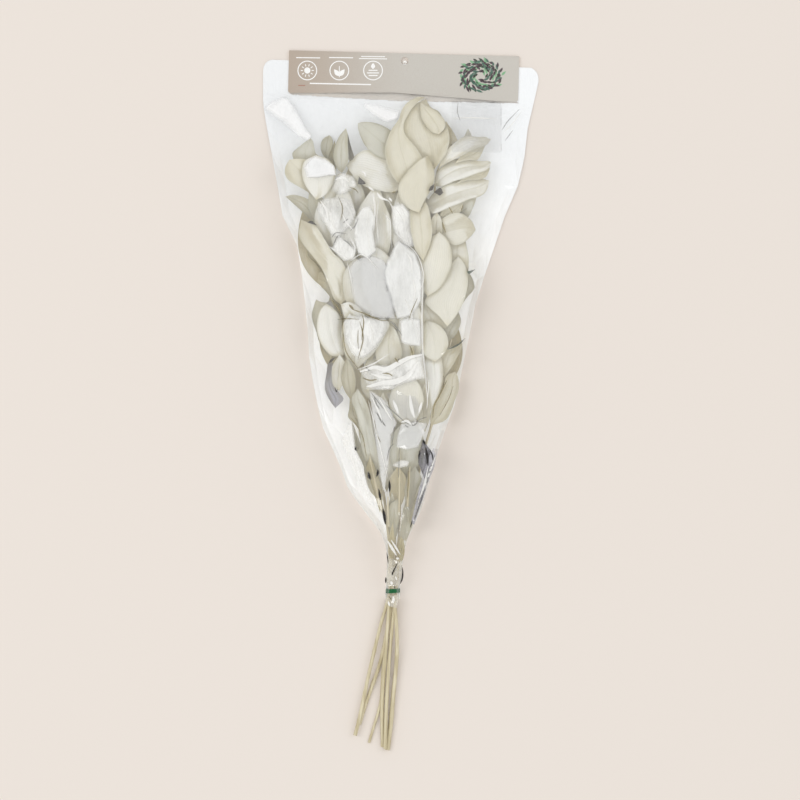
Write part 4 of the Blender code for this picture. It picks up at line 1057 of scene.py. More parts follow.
def node(tree, kind, settings=None, **inputs):
    """Adds a node. Each input is a constant or another node's output, named or by number."""
    made = tree.nodes.new(kind)
    for key, value in (settings or {}).items():
        setattr(made, key, value)
    for key, value in inputs.items():
        place = int(key[1:]) if key[1:].isdigit() else key.replace("_", " ")
        if isinstance(value, bpy.types.NodeSocket):
            tree.links.new(value, made.inputs[place])
        else:
            made.inputs[place].default_value = value
    return made


def blank_material(name):
    """A material, its node tree, and a function that adds the shader it ends in."""
    material = bpy.data.materials.new(name)
    material.use_nodes = True
    tree = material.node_tree
    tree.nodes.clear()
    out = tree.nodes.new("ShaderNodeOutputMaterial")

    def end_in(kind, **inputs):
        tree.links.new(node(tree, "ShaderNode" + kind, **inputs).outputs[0], out.inputs[0])

    return material, tree, end_in


def math_node(tree, operation, a, b=0.0):
    return node(tree, "ShaderNodeMath", dict(operation=operation), i0=a, i1=b).outputs[0]


def product(tree, a, b):
    return math_node(tree, "MULTIPLY", a, b)


def mapped(tree, value, low, high, to_low=0.0, to_high=1.0):
    """Turns the range from low to high smoothly into another one."""
    made = node(tree, "ShaderNodeMapRange", dict(interpolation_type="SMOOTHSTEP"),
                Value=value, From_Min=low, From_Max=high, To_Min=to_low, To_Max=to_high)
    return made.outputs[0]


def mixed(tree, factor, a, b, blend="MIX"):
    """Mixes two colours."""
    made = node(tree, "ShaderNodeMix", dict(data_type="RGBA", blend_type=blend),
                i0=factor, i6=a, i7=b)
    return made.outputs[2]


def object_noise(tree, scale, stretch=(1, 1, 1), detail=3.0, rough=0.5):
    """Noise fixed to the object, with features of about 1/scale metres."""
    place = node(tree, "ShaderNodeTexCoord").outputs["Object"]
    size = tuple(scale * s for s in stretch)
    turned = node(tree, "ShaderNodeMapping", Vector=place, Scale=size).outputs[0]
    made = node(tree, "ShaderNodeTexNoise", Vector=turned, Scale=1.0, Detail=detail,
                Roughness=rough)
    return made.outputs["Fac"]


def object_place(tree):
    """The object's own x, y and z."""
    place = node(tree, "ShaderNodeTexCoord").outputs["Object"]
    return node(tree, "ShaderNodeSeparateXYZ", i0=place).outputs


def stored(tree, name):
    """The two values that a UV layer keeps for each point."""
    place = node(tree, "ShaderNodeUVMap", dict(uv_map=name)).outputs[0]
    return node(tree, "ShaderNodeSeparateXYZ", i0=place).outputs


def bumped(tree, height, strength, distance):
    return node(tree, "ShaderNodeBump", Strength=strength, Distance=distance, Height=height).outputs[0]


def linear(red, green, blue):
    """A colour from 8-bit values as a screen shows them."""
    shares = [value / 255 for value in (red, green, blue)]
    return tuple(share / 12.92 if share <= 0.04045 else ((share + 0.055) / 1.055) ** 2.4
                 for share in shares) + (1.0,)


def leaf_material(name, light, shade, edge):
    """Dry leaf tissue: mottled tone, fine parallel veins, a duller margin, a yellowish base, and
    painted shade where other leaves cross it."""
    material, tree, end_in = blank_material(name)
    across, along = stored(tree, "place")[:2]
    mottle = mapped(tree, object_noise(tree, 45, detail=4.0), 0.35, 0.68)
    broad = mapped(tree, object_noise(tree, 14, detail=1.0), 0.3, 0.7)
    drift = object_noise(tree, 60, detail=1.0)
    lines = math_node(tree, "ADD", product(tree, across, 100.0), product(tree, drift, 5.0))
    veins = math_node(tree, "SINE", lines)
    centre = math_node(tree, "ABSOLUTE", math_node(tree, "SUBTRACT", across, 0.5))
    margin = mapped(tree, centre, 0.43, 0.5)
    base = mapped(tree, along, 0.0, 0.2, 0.4, 0.0)
    colour = mixed(tree, product(tree, mottle, 0.5), light, shade)
    colour = mixed(tree, product(tree, broad, 0.35), colour, shade)
    colour = mixed(tree, mapped(tree, veins, 0.1, 1.0, 0.0, 0.16), colour, edge)
    colour = mixed(tree, base, colour, linear(226, 214, 168))
    colour = mixed(tree, product(tree, margin, 0.55), colour, edge)
    # Painted shade, darkest where other leaves stand over this one
    deep = mapped(tree, stored(tree, "pile")[0], 0.30, 0.78)
    colour = mixed(tree, deep, colour, OVERLAP_SHADE, "MULTIPLY")
    grain = object_noise(tree, 900, detail=2.0)
    relief = math_node(tree, "ADD", product(tree, veins, 0.6), grain)
    end_in("BsdfPrincipled", Base_Color=colour, Roughness=mapped(tree, grain, 0.3, 0.7, 0.42, 0.56),
           Normal=bumped(tree, relief, 0.25, 0.0002), Specular_IOR_Level=0.35)
    return material


def stem_material(name, light, shade):
    """Bleached stem: long streaks and a fine grain along its length."""
    material, tree, end_in = blank_material(name)
    streak = mapped(tree, object_noise(tree, 500, (1, 0.035, 1)), 0.35, 0.65)
    blotch = mapped(tree, object_noise(tree, 40, (1, 0.5, 1), 2.0), 0.4, 0.7)
    colour = mixed(tree, product(tree, streak, 0.7), light, shade)
    colour = mixed(tree, product(tree, blotch, 0.4), colour, shade)
    grain = object_noise(tree, 1400, (1, 0.08, 1), 2.0)
    end_in("BsdfPrincipled", Base_Color=colour, Roughness=0.5,
           Normal=bumped(tree, grain, 0.5, 0.0003), Specular_IOR_Level=0.35)
    return material


def film_material(name, haze, tint=WHITE, rough=0.05, haze_colour=(0.97, 0.97, 0.965, 1.0), shine=0.03,
                  spread=0.45, fade=0.0):
    """Clear glossy film: see-through, with mirror gloss at each facet and a streaky milky haze; on
    folds and creases that haze is painted glare or shade.
    """
    material, tree, end_in = blank_material(name)
    bump = bumped(tree, object_noise(tree, 130), 0.12, 0.0008)
    clear = node(tree, "ShaderNodeBsdfTransparent", Color=tint).outputs[0]
    white = node(tree, "ShaderNodeBsdfDiffuse", Color=haze_colour).outputs[0]
    streak = object_noise(tree, 70, (1, 0.35, 1), 5.0, 0.65)
    cloud = mapped(tree, streak, 0.3, 0.72, haze * (1 - spread), haze * (1 + spread))
    facing = node(tree, "ShaderNodeLayerWeight", Blend=0.5, Normal=bump).outputs["Facing"]
    share = mapped(tree, math_node(tree, "POWER", facing, 5.0), 0.0, 1.0, shine, 0.6)
    if fade:
        inside = stored(tree, "place")[0]
        cloud = product(tree, cloud, inside)
        share = product(tree, share, inside)
    body = node(tree, "ShaderNodeMixShader", i0=cloud, i1=clear, i2=white).outputs[0]
    gloss = node(tree, "ShaderNodeBsdfGlossy", Color=WHITE, Roughness=rough, Normal=bump).outputs[0]
    end_in("MixShader", i0=share, i1=body, i2=gloss)
    return material


def backing_material():
    """The back panel reads as milky white: a pearly film, with painted shade that greys it towards its
    top and top left. A little emission is painted light that brightens it, for the light that comes
    through it."""
    material, tree, end_in = blank_material("pearl_film_painted_light")
    cloud = mapped(tree, object_noise(tree, 18, detail=2.0), 0.3, 0.7)
    colour = mixed(tree, cloud, linear(254, 254, 253), linear(247, 248, 248))
    sides, along = object_place(tree)[:2]
    # Painted shade: greyer towards the top, and more so at the top left
    top = mapped(tree, along, 0.14, 0.27)
    colour = mixed(tree, top, colour, linear(229, 231, 232))
    left = product(tree, top, mapped(tree, sides, 0.02, -0.08))
    colour = mixed(tree, left, colour, linear(221, 223, 224))
    # The emission is painted light
    end_in("BsdfPrincipled", Base_Color=colour, Roughness=0.22,
           Normal=bumped(tree, object_noise(tree, 90), 0.2, 0.001), Specular_IOR_Level=0.6,
           Emission_Color=(0.98, 0.99, 1.0, 1.0), Emission_Strength=0.17)
    return material


def paper_material(name, left, middle):
    """Printed card: a tone that lightens towards the middle, and a fine paper grain."""
    material, tree, end_in = blank_material(name)
    grain = object_noise(tree, 1600, detail=4.0)
    colour = mixed(tree, mapped(tree, object_place(tree)[0], -0.12, 0.02), left, middle)
    dark = tuple(c * 0.86 for c in left[:3]) + (1.0,)
    colour = mixed(tree, mapped(tree, grain, 0.4, 0.75, 0.0, 0.35), colour, dark)
    end_in("BsdfPrincipled", Base_Color=colour, Roughness=0.55,
           Normal=bumped(tree, grain, 0.25, 0.0001), Specular_IOR_Level=0.3)
    return material


def ink_material(name, colour):
    """Printing ink with a slightly uneven lay."""
    material, tree, end_in = blank_material(name)
    thin = mapped(tree, object_noise(tree, 1500, detail=2.0), 0.35, 0.75, 0.0, 0.3)
    tone = mixed(tree, thin, colour, linear(204, 198, 190))
    end_in("BsdfPrincipled", Base_Color=tone, Roughness=0.5, Specular_IOR_Level=0.3)
    return material


def elastic_material():
    """Woven green elastic: fine ribs round the band."""
    material, tree, end_in = blank_material("green_elastic")
    ribs = math_node(tree, "SINE", product(tree, object_place(tree)[1], 9000.0))
    fuzz = object_noise(tree, 900)
    colour = mixed(tree, mapped(tree, ribs, -1.0, 1.0), linear(0, 84, 42), linear(24, 128, 72))
    colour = mixed(tree, mapped(tree, fuzz, 0.4, 0.7, 0.0, 0.5), colour, linear(6, 66, 36))
    relief = math_node(tree, "ADD", ribs, fuzz)
    end_in("BsdfPrincipled", Base_Color=colour, Roughness=0.6,
           Normal=bumped(tree, relief, 0.6, 0.0003))
    return material


def floor_material():
    material, _, end_in = blank_material("floor")
    end_in("BsdfDiffuse", Color=FLOOR_COLOUR)
    return material


# Camera, lights and floor

def add_camera():
    data = bpy.data.cameras.new("camera")
    data.lens = CAMERA_LENS
    data.sensor_width = SENSOR
    camera = bpy.data.objects.new("camera", data)
    camera.location = (CAMERA_X * MM, 0, CAMERA_HEIGHT * MM)
    bpy.context.scene.collection.objects.link(camera)
    bpy.context.scene.camera = camera


def add_softbox(name, zenith, azimuth, distance, width, height, brightness, glint):
    """A rectangular lamp that looks at the object."""
    data = bpy.data.lights.new(name, "AREA")
    data.shape = "RECTANGLE"
    data.size = width
    data.size_y = height
    data.energy = brightness * width * height * math.pi
    lamp = bpy.data.objects.new(name, data)
    tilt, turn = math.radians(zenith), math.radians(azimuth)
    way = Vector((math.sin(tilt) * math.cos(turn), math.sin(tilt) * math.sin(turn), math.cos(tilt)))
    lamp.location = way * distance
    lamp.rotation_euler = way.to_track_quat("Z", "Y").to_euler()
    lamp.visible_glossy = glint
    bpy.context.scene.collection.objects.link(lamp)


def add_studio():
    scene = bpy.context.scene
    scene.view_settings.view_transform = "Standard"
    world = bpy.data.worlds.new("studio")
    world.use_nodes = True
    back = world.node_tree.nodes["Background"]
    back.inputs["Color"].default_value = WHITE
    back.inputs["Strength"].default_value = WORLD_STRENGTH
    scene.world = world
    for name, box in SOFTBOXES.items():
        add_softbox(name, *box)
    mesh = bpy.data.meshes.new("floor")
    corners = [(-1, -1), (1, -1), (1, 1), (-1, 1)]
    mesh.from_pydata([(x * FLOOR_HALF, y * FLOOR_HALF, FLOOR_TOP) for x, y in corners], [],
                     [(0, 1, 2, 3)])
    mesh.materials.append(floor_material())
    floor = bpy.data.objects.new("floor", mesh)
    scene.collection.objects.link(floor)


# Leaves

def leaf_ways(leaf):
    """The unit vectors along a leaf and to its left, and its length."""
    base, tip = np.array(leaf["base"], float), np.array(leaf["tip"], float)
    length = np.linalg.norm(tip - base)
    ahead = (tip - base) / length
    return ahead, np.array([-ahead[1], ahead[0]]), length


def leaf_margin(leaf, side, s):
    """One margin of a leaf as points (x, y) at shares s of the way from base to tip."""
    edge = leaf["left"] if side > 0 else leaf["right"]
    if isinstance(edge, list):
        path = catmull_rom([leaf["base"]] + edge + [leaf["tip"]], 8)
        return points_along(path, s * distances(path)[-1])
    base, tip = np.array(leaf["base"], float), np.array(leaf["tip"], float)
    left = leaf_ways(leaf)[1]
    out = side * edge * np.sin(np.pi * s ** 0.8) ** 0.85 + leaf["bend"] * 4 * s * (1 - s)
    return base + (tip - base) * s[:, None] + left * out[:, None]


def leaf_grid(leaf, base_z, tip_z, random):
    """The middle surface of a leaf, with its cup, curled margins, waves and twist."""
    even = np.linspace(0, 1, LEAF_ROWS)
    s = (even + (1 - np.cos(np.pi * even)) / 2) / 2
    left, right = leaf_margin(leaf, 1, s), leaf_margin(leaf, -1, s)
    _, aside, length = leaf_ways(leaf)
    middle = (left + right) / 2
    width = np.linalg.norm(left - right, axis=1)
    thin = width < LEAST_WIDTH
    left[thin] = middle[thin] + aside * LEAST_WIDTH / 2
    right[thin] = middle[thin] - aside * LEAST_WIDTH / 2
    width = np.maximum(width, LEAST_WIDTH)
    share = width / width.max()
    t = np.linspace(-1, 1, LEAF_COLUMNS)
    place = right[:, None] + (left - right)[:, None] * ((t + 1) / 2)[None, :, None]
    size = min(1.0, width.max() / FULL_WIDTH)
    waves = 0
    for side in (-1, 1):
        pitch = random.uniform(*WAVE_PITCH)
        phase = random.uniform(0, 2 * np.pi)
        strength = random.uniform(*WAVE_HEIGHT) * size
        swing = strength * np.sin(2 * np.pi * s * length / pitch + phase)
        waves = waves + swing[:, None] * np.clip(side * t, 0, 1)[None, :] ** 2
    curl = random.uniform(*CURL_HEIGHT, 2) * size * math.copysign(1, leaf["cup"])
    rim = np.where(t > 0, curl[0], curl[1]) * np.clip(np.abs(t) - 0.55, 0, 1) ** 2 * 5
    keel = -KEEL_DEPTH * size * np.exp(-(t / KEEL_WIDTH) ** 2)
    z = (base_z + (tip_z - base_z) * s + leaf["arch"] * 4 * s * (1 - s))[:, None]
    z = z + share[:, None] * (leaf["cup"] * t ** 2 + rim + keel)[None, :] + waves * share[:, None]
    z = z + LEAF_TWIST * size * t * share[:, None] * (s[:, None] - 0.4) * 2
    return np.concatenate([place, z[..., None]], axis=2)


def grid_quads(index):
    """The cells of a grid of point numbers."""
    corners = [index[1:, :-1], index[1:, 1:], index[:-1, 1:], index[:-1, :-1]]
    return np.stack(corners, axis=-1).reshape(-1, 4).tolist()


def leaf_solid(grid):
    """A thin lens around a leaf's middle surface with sharp margins, and its UV places."""
    rows, columns, _ = grid.shape
    normal = np.cross(np.gradient(grid, axis=0), np.gradient(grid, axis=1))
    normal = normal / np.maximum(np.linalg.norm(normal, axis=2, keepdims=True), 1e-9)
    t = np.linspace(-1, 1, columns)[None, :, None]
    ends = np.ones(rows)
    ends[0] = ends[-1] = 0.2
    swell = LEAF_THICK / 2 * (1 - t ** 4) * ends[:, None, None]
    swell[:, 0] = swell[:, -1] = 0
    upper = np.arange(rows * columns).reshape(rows, columns)
    lower = upper + rows * columns
    lower[:, 0], lower[:, -1] = upper[:, 0], upper[:, -1]
    first, last = ([*upper[row], *lower[row, 1:-1][::-1]] for row in (0, rows - 1))
    faces = grid_quads(upper) + [quad[::-1] for quad in grid_quads(lower)] + [first[::-1], last]
    points = np.vstack([(grid + normal * swell).reshape(-1, 3), (grid - normal * swell).reshape(-1, 3)])
    along, across = np.meshgrid(np.linspace(0, 1, rows), np.linspace(0, 1, columns), indexing="ij")
    uv = np.stack([across.ravel(), along.ravel()], axis=1)
    return compact(points, faces, np.vstack([uv, uv]))


def compact(points, faces, uv):
    """Drops the points that no face uses."""
    used = sorted({i for f in faces for i in f})
    renumber = {old: new for new, old in enumerate(used)}
    return points[used], [[renumber[i] for i in f] for f in faces], uv[used]


def lay_leaf(ground, leaf, base_z, tip_z, materials):
    """Makes one leaf, lets it settle on what lies below it, and adds it to the pile."""
    name = leaf["name"]
    grid = leaf_grid(leaf, base_z, tip_z, np.random.default_rng([ord(c) for c in name]))
    grid = lay_on(ground, grid, GAP + LEAF_THICK / 2, LEAF_SETTLE)
    points, faces, uv = leaf_solid(grid)
    replaced = [name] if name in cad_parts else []
    top = grid.reshape(-1, 3) + (0, 0, LEAF_THICK / 2)
    ground.add(samples(top, grid_triangles(LEAF_ROWS, LEAF_COLUMNS)))
    return make_piece("fine_" + name, points, faces, [materials[leaf["tone"]]], "leaf", replaced,
                      SHARP_PLANT, uv)


def dome(x, y):
    """Greatest height of a leaf's tip."""
    left, right = read_edge(LEFT_EDGE, y), read_edge(RIGHT_EDGE, y)
    across = np.clip((2 * x - left - right) / (right - left), -1, 1)
    return float((DOME_SIDE + DOME_RISE * (1 - across ** 2)) * np.interp(y, *DOME_TOP))


def add_back_leaves(ground, materials):
    return [lay_leaf(ground, leaf, base_z, tip_z, materials)
            for leaf, base_z, tip_z in BACK_LEAVES]


def add_front_leaves(ground, materials):
    pieces = []
    for leaf in FRONT_LEAVES:
        base_z, rest_z = (ground.level(*leaf[end], 2) + LEAF_START for end in ("base", "tip"))
        tip_z = max(rest_z, min(base_z + leaf["rise"], dome(*leaf["tip"])))
        pieces.append(lay_leaf(ground, leaf, base_z, tip_z, materials))
    return pieces


def overlap_shade(ground, points):
    """How far the pile stands up round each point, from 0 in the open to 1 under other leaves: the
    share of painted shade there.
    """
    total = np.zeros(len(points))
    for turn in np.linspace(0, 2 * math.pi, OVERLAP_WAYS + 1)[:-1]:
        way = np.array([math.cos(turn), math.sin(turn), 0.0])
        slope = np.zeros(len(points))
        for reach in OVERLAP_REACH:
            rise = ground.height(points + way * reach) - points[:, 2]
            slope = np.maximum(slope, rise / reach)
        total += slope / np.hypot(1, slope)
    return total / OVERLAP_WAYS


def paint_overlap_shade(ground, pieces):
    """Stores each leaf's painted shade for its material, which darkens the leaf where others cross it
    or stand up round it.
    """
    for piece in pieces:
        deep = overlap_shade(ground, np.array([v.co for v in piece.data.vertices]) / MM)
        store(piece.data, "pile", np.stack([deep, deep], axis=1))


# Stems

def stem_radius(y, low, high, y_low, y_high):
    """Tapers from the cut end to the tip, and is drawn in at the tie."""
    taper = np.interp(y, [y_low, NECK_Y, y_high], [low, NECK_RADIUS, high])
    return min(taper, NECK_RADIUS) if abs(y - NECK_Y) < NECK_REACH else taper


def add_stem(ground, name, low, high, route, material):
    """A grooved tapering stem with a knot every few centimetres."""
    path = catmull_rom(route, 12)
    length = distances(path)[-1]
    steps = int(length / STEM_STEP)
    spots = np.linspace(0, length, steps)
    path = points_along(path, spots)
    random = np.random.default_rng(sum(map(ord, name)))
    knots = np.cumsum(random.uniform(*KNOT_GAP, KNOTS)) - 10
    points = []
    for i, centre in enumerate(path):
        direction = Vector(path[min(i + 1, steps - 1)] - path[max(i - 1, 0)]).normalized()
        across = Vector((0, 0, 1)).cross(direction).normalized()
        up = direction.cross(across)
        radius = stem_radius(centre[1], low, high, route[0][1], route[-1][1])
        if abs(centre[1] - NECK_Y) >= KNOTLESS:
            knot = max(math.exp(-((spots[i] - k) / KNOT_LENGTH) ** 2) for k in knots)
            radius *= 1 + KNOT_SWELL * knot
        for k in range(STEM_SIDES):
            angle = 2 * math.pi * (k + 0.5) / STEM_SIDES
            reach = radius * (1 + GROOVE_DEPTH * math.cos(GROOVES * angle + spots[i] * 0.01))
            points.append(centre + np.array(across) * reach * math.cos(angle)
                          + np.array(up) * reach * math.sin(angle))
    points = np.array(points)
    make_piece("fine_" + name, points, tube_faces(steps, STEM_SIDES), [material], "stem", [name],
               SHARP_PLANT)
    ground.add(points)
    ground.add((points + np.roll(points, -STEM_SIDES, axis=0)) / 2)


def add_stalk(ground, name, radius, route, material):
    """A thin stalk that lies on the leaves and tapers at its upper end."""
    path = catmull_rom([(x, y, 0) for x, y in route], 10)
    rest = np.array([ground.level(p[0], p[1], 2) for p in path])
    wide = np.pad(rest, STALK_REACH, mode="edge")
    windows = [wide[k:k + len(rest)] for k in range(2 * STALK_REACH + 1)]
    path[:, 2] = np.max(windows, axis=0) + GAP + radius
    points = []
    for i, centre in enumerate(path):
        reach = radius * np.interp(i, [0, len(path) * STALK_TAPER], [STALK_END, 1.0])
        points += [centre + (x, 0, z) for x, z in circle(0, 0, reach, STALK_SIDES)]
    points = np.array(points)
    make_piece(name, points, tube_faces(len(path), STALK_SIDES), [material], "stem", (), SHARP_PLANT)
    ground.add(points)


# Film sleeve

def film_point(across, y_row, sign):
    """A point of a panel before it is stretched: across is -1 at the left seam and 1 at the right,
    and sign is 1 for the front panel and -1 for the back one."""
    left, right = read_edge(LEFT_EDGE, y_row), read_edge(RIGHT_EDGE, y_row)
    x = (left + right) / 2 + (right - left) / 2 * across * 0.998
    y = y_row + FILM_SHEAR * np.interp(y_row, [200, 300], [0, 1]) * x
    rise = np.sqrt(np.maximum(1 - across ** 2, 0))
    z = read_edge(SEAM_Z, y_row) + sign * (FILM_THICK + read_edge(TUBE_DEPTH, y_row) * rise)
    return np.stack([x, y, z], axis=-1)


def card_line(x, edge):
    """The y of the card's lower edge at x."""
    return CARD_FOLD + CARD_TILT * (x - CARD_X) - read_edge(edge, x - CARD_X)


def card_hold(points):
    """How far a point of the front panel is held flat between the halves of the card, 0 to 1."""
    line = card_line(points[..., 0], CARD_FRONT_EDGE)
    return np.interp(points[..., 1] - line, HOLD_FADE, [0, 1])


def film_controls(random, wide, neck):
    """Corners of the film's facets as (across, y): seams, ends, the line at the card, inner ones.
    Wide and neck are the sizes of the facets in the sleeve's body and at its neck."""
    rows = [FILM_LOW]
    while rows[-1] < FACETS_TOP:
        rows.append(rows[-1] + np.interp(rows[-1], FACET_ROWS, [neck, neck, wide * 0.8, wide]))
    corners = []
    for k, y in enumerate(rows[:-1]):
        gap = np.interp(y, FACET_COLUMNS, [*NECK_WIDTHS, wide])
        count = max(3, int(round(2 * FLAT_HALF / gap)))
        for j in range(count + 1):
            inside = 0 < j < count
            a = -1 + 2 * (j + (0.5 if k % 2 and inside else 0)) / count
            if inside:
                a += random.uniform(-STRAY_ACROSS, STRAY_ACROSS) * 2 / count
            dy = random.uniform(-STRAY_ALONG, STRAY_ALONG) * wide if inside and k else 0
            if abs(a) < NEAR_SEAM - SEAM_CLEAR or not inside:
                corners.append((float(a), y + dy))
        shift = SEAM_SHIFT if k else 0
        corners += [(-NEAR_SEAM, y + shift), (NEAR_SEAM, y - shift)]
    for a in np.linspace(-1, 1, CARD_COLUMNS):
        x = film_point(a, CARD_ROW, 1)[0]
        line = card_line(x, CARD_FRONT_EDGE)
        corners += [(float(a), float(line - drop - FILM_SHEAR * x)) for drop in CARD_ROWS]
        corners.append((float(a), FILM_HIGH))
    for y in SEAM_ROWS:
        corners += [(-1.0, y), (1.0, y)]
    return np.array(corners)


def facet_mesh(corners):
    """Delaunay triangles over the facets' corners, in the film's own flat frame."""
    flat = [Vector((a * FLAT_HALF, y)) for a, y in corners]
    made = geometry.delaunay_2d_cdt(flat, [], [], 0, 1e-6)
    spots = np.array([tuple(v) for v in made[0]])
    return spots[:, 0] / FLAT_HALF, spots[:, 1], np.array(made[2])


def membrane(ground):
    """Heights of the front panel drawn tight over the bunch, on a grid of (y, across)."""
    across = np.linspace(-1, 1, STRETCH_COLUMNS)
    rows = np.linspace(FILM_LOW, FILM_HIGH, STRETCH_ROWS)
    points = film_point(across[None, :], rows[:, None] + 0 * across[None, :], 1)
    start = points[..., 2].copy()
    low = ground.highest(points, 4) + (GAP + FILM_THICK)
    low[:, :2] = low[:, -2:] = EMPTY
    tube = np.interp(rows, NECK_TUBE, [1, 0])[:, None]
    held = card_hold(points)
    z = np.maximum(start, low)
    for _ in range(STRETCH_ROUNDS):
        mean = neighbour_mean(z)
        mean[:, 0], mean[:, -1] = start[:, 0], start[:, -1]
        z = np.maximum(mean, low) * (1 - tube) + np.maximum(start, low) * tube
        z = z * (1 - held) + HELD_Z * held
    return rows, across, z


def grid_value(rows, across, grid, y, a):
    """Reads a regular grid at places between its points."""
    i = np.clip((y - rows[0]) / (rows[1] - rows[0]), 0, len(rows) - 1.001)
    j = np.clip((a - across[0]) / (across[1] - across[0]), 0, len(across) - 1.001)
    i0, j0 = i.astype(int), j.astype(int)
    fi, fj = i - i0, j - j0
    return ((grid[i0, j0] * (1 - fj) + grid[i0, j0 + 1] * fj) * (1 - fi)
            + (grid[i0 + 1, j0] * (1 - fj) + grid[i0 + 1, j0 + 1] * fj) * fi)


def add_front_film(ground, material):
    """The front panel: drawn over the bunch, broken into facets, and lifted clear of the leaves."""
    random = np.random.default_rng(FRONT_SEED)
    rows_at, across_at, heights = membrane(ground)
    across, rows, triangles = facet_mesh(film_controls(random, *FRONT_FACETS))
    points = film_point(across, rows, 1)
    in_card = card_hold(points) > 0.99
    fixed = in_card | (np.abs(across) > AT_SEAM) | (rows < NECK_FIXED)
    ridged = random.uniform(0, 1, len(rows)) < RIDGE_SHARE
    ridges = np.where(ridged, random.uniform(*RIDGE_RANGE, len(rows)), 0)
    ridges = ridges * np.interp(rows, *RIDGE_HEIGHTS)
    drawn = np.maximum(grid_value(rows_at, across_at, heights, rows, across), points[:, 2])
    points[:, 2] = np.where(fixed, points[:, 2], drawn + ridges)
    points[in_card, 2] = HELD_Z
    bulge = random.uniform(*FRONT_BULGE, len(triangles))
    bulge[fixed[triangles].all(axis=1)] = 0
    fine, faces = refined(points, triangles, FRONT_SPLIT, bulge)
    free = (1 - card_hold(fine)) * (fine[:, 1] > NECK_FREE)
    fine = lift_over(ground, fine, faces, GAP + FILM_THICK / 2, free)
    ground.add(samples(fine, faces, 3))
    return make_piece("sleeve_front", *thin_solid(fine, faces, FILM_THICK), [material], "film",
                      ["front_film"], SHARP_FILM)


def add_back_film(ground, pearl, clear):
    """The back panel: it lies on the surface, slightly creased, pearly outside the card."""
    random = np.random.default_rng(BACK_SEED)
    across, rows, triangles = facet_mesh(film_controls(random, *BACK_FACETS))
    points = film_point(across, rows, -1)
    in_card = points[:, 1] > card_line(points[:, 0], CARD_BACK_EDGE) - BACK_HELD
    inner = (np.abs(across) <= AT_SEAM) & (rows > BACK_CREASED)
    creased = random.uniform(0, 1, len(rows)) ** 2 * BACK_CREASE
    points[:, 2] = np.maximum(points[:, 2], BACK_LOWEST) + np.where(inner, creased, 0)
    points[in_card, 2] = BACK_HELD_Z
    above = rows[triangles].mean(axis=1) > BACK_BULGED
    bulge = random.uniform(*BACK_BULGE, len(triangles)) * above
    bulge[in_card[triangles].all(axis=1)] = 0
    fine, faces = refined(points, triangles, BACK_SPLIT, bulge)
    ground.add(samples(fine, faces, 3))
    both, solid = thin_solid(fine, faces, FILM_THICK)
    x, y = np.array([both[list(face)].mean(axis=0)[:2] for face in solid]).T
    shown = y > card_line(x, CARD_BACK_EDGE) - CLEAR_LOW
    shown &= y < card_line(x, CARD_FRONT_EDGE) + CLEAR_HIGH
    shown &= np.abs(x - CARD_X) < CARD_HALF - 1
    return make_piece("sleeve_back", both, solid, [pearl, clear], "film", ["back_film"],
                      SHARP_FILM, index=shown.astype(int))


def outline_distance(points, outline):
    """Each point's distance to the nearest side of a closed outline."""
    corners = np.array(outline, float)
    ahead = np.roll(corners, -1, axis=0) - corners
    way = points[:, None, :2] - corners[None]
    share = np.clip((way * ahead).sum(axis=2) / (ahead ** 2).sum(axis=1), 0, 1)
    return np.linalg.norm(way - share[..., None] * ahead, axis=2).min(axis=1)


def add_fold(ground, name, outline, size, height, material, fade):
    """A loose patch of doubled film on top of the front panel, broken into flat facets, with painted
    glare or shade in its haze.
    """
    random = np.random.default_rng([ord(c) for c in name])
    flat, triangles = outline_mesh(outline, (), size, random)
    points = np.column_stack([flat, np.zeros(len(flat))])
    low = ground.highest(points, 2)
    raised = random.uniform(0, 1, len(flat)) ** 2 * height * FOLD_RISE
    points[:, 2] = low + GAP + FILM_THICK + raised
    fine, faces = refined(points, triangles, FOLD_SPLIT)
    fine = lift_over(ground, fine, faces, GAP + FILM_THICK / 2, 1.0)
    inside = np.clip(outline_distance(fine, outline) / fade, 0, 1)
    uv = np.column_stack([inside, inside])
    make_piece(name, *thin_solid(fine, faces, FILM_THICK), [material], "film", (), SHARP_FOLD,
               np.vstack([uv, uv]))
    ground.add(samples(fine, faces, 3))


def crease_strip(ground, width, route, ridge):
    """Points and faces of a narrow raised strip along a crease."""
    path = catmull_rom(route, 10)
    ahead = np.gradient(path, axis=0)
    ahead /= np.linalg.norm(ahead, axis=1, keepdims=True)
    aside = np.stack([-ahead[:, 1], ahead[:, 0]], axis=1)
    swell = np.sin(np.pi * np.linspace(0, 1, len(path)))
    half = width / 2 * (CREASE_END + (1 - CREASE_END) * swell)
    across = np.array([-1, 0, 1])[None, :, None]
    strip = path[:, None] + aside[:, None] * half[:, None, None] * across
    rest = np.array([[ground.level(x, y, CREASE_REACH)] for x, y in path])
    z = rest + GAP + (0.0, ridge, 0.0)
    surface = np.concatenate([strip, z[..., None]], axis=2)
    return thin_solid(surface.reshape(-1, 3), grid_triangles(len(path), 3)[:, ::-1], FILM_THICK)


def add_creases(ground):
    """The creases, one piece for each tone, whose colours are painted highlights and shadow lines."""
    for tone, (haze, colour, ridge) in CREASE_TONES.items():
        material = film_material(tone + "_crease", haze, rough=0.08, haze_colour=linear(*colour),
                                 shine=0.04, spread=0.1)
        strips = [crease_strip(ground, width, route, ridge) for width, route in CREASES[tone]]
        make_piece("creases_" + tone, *joined(strips), [material], "film")


# Card

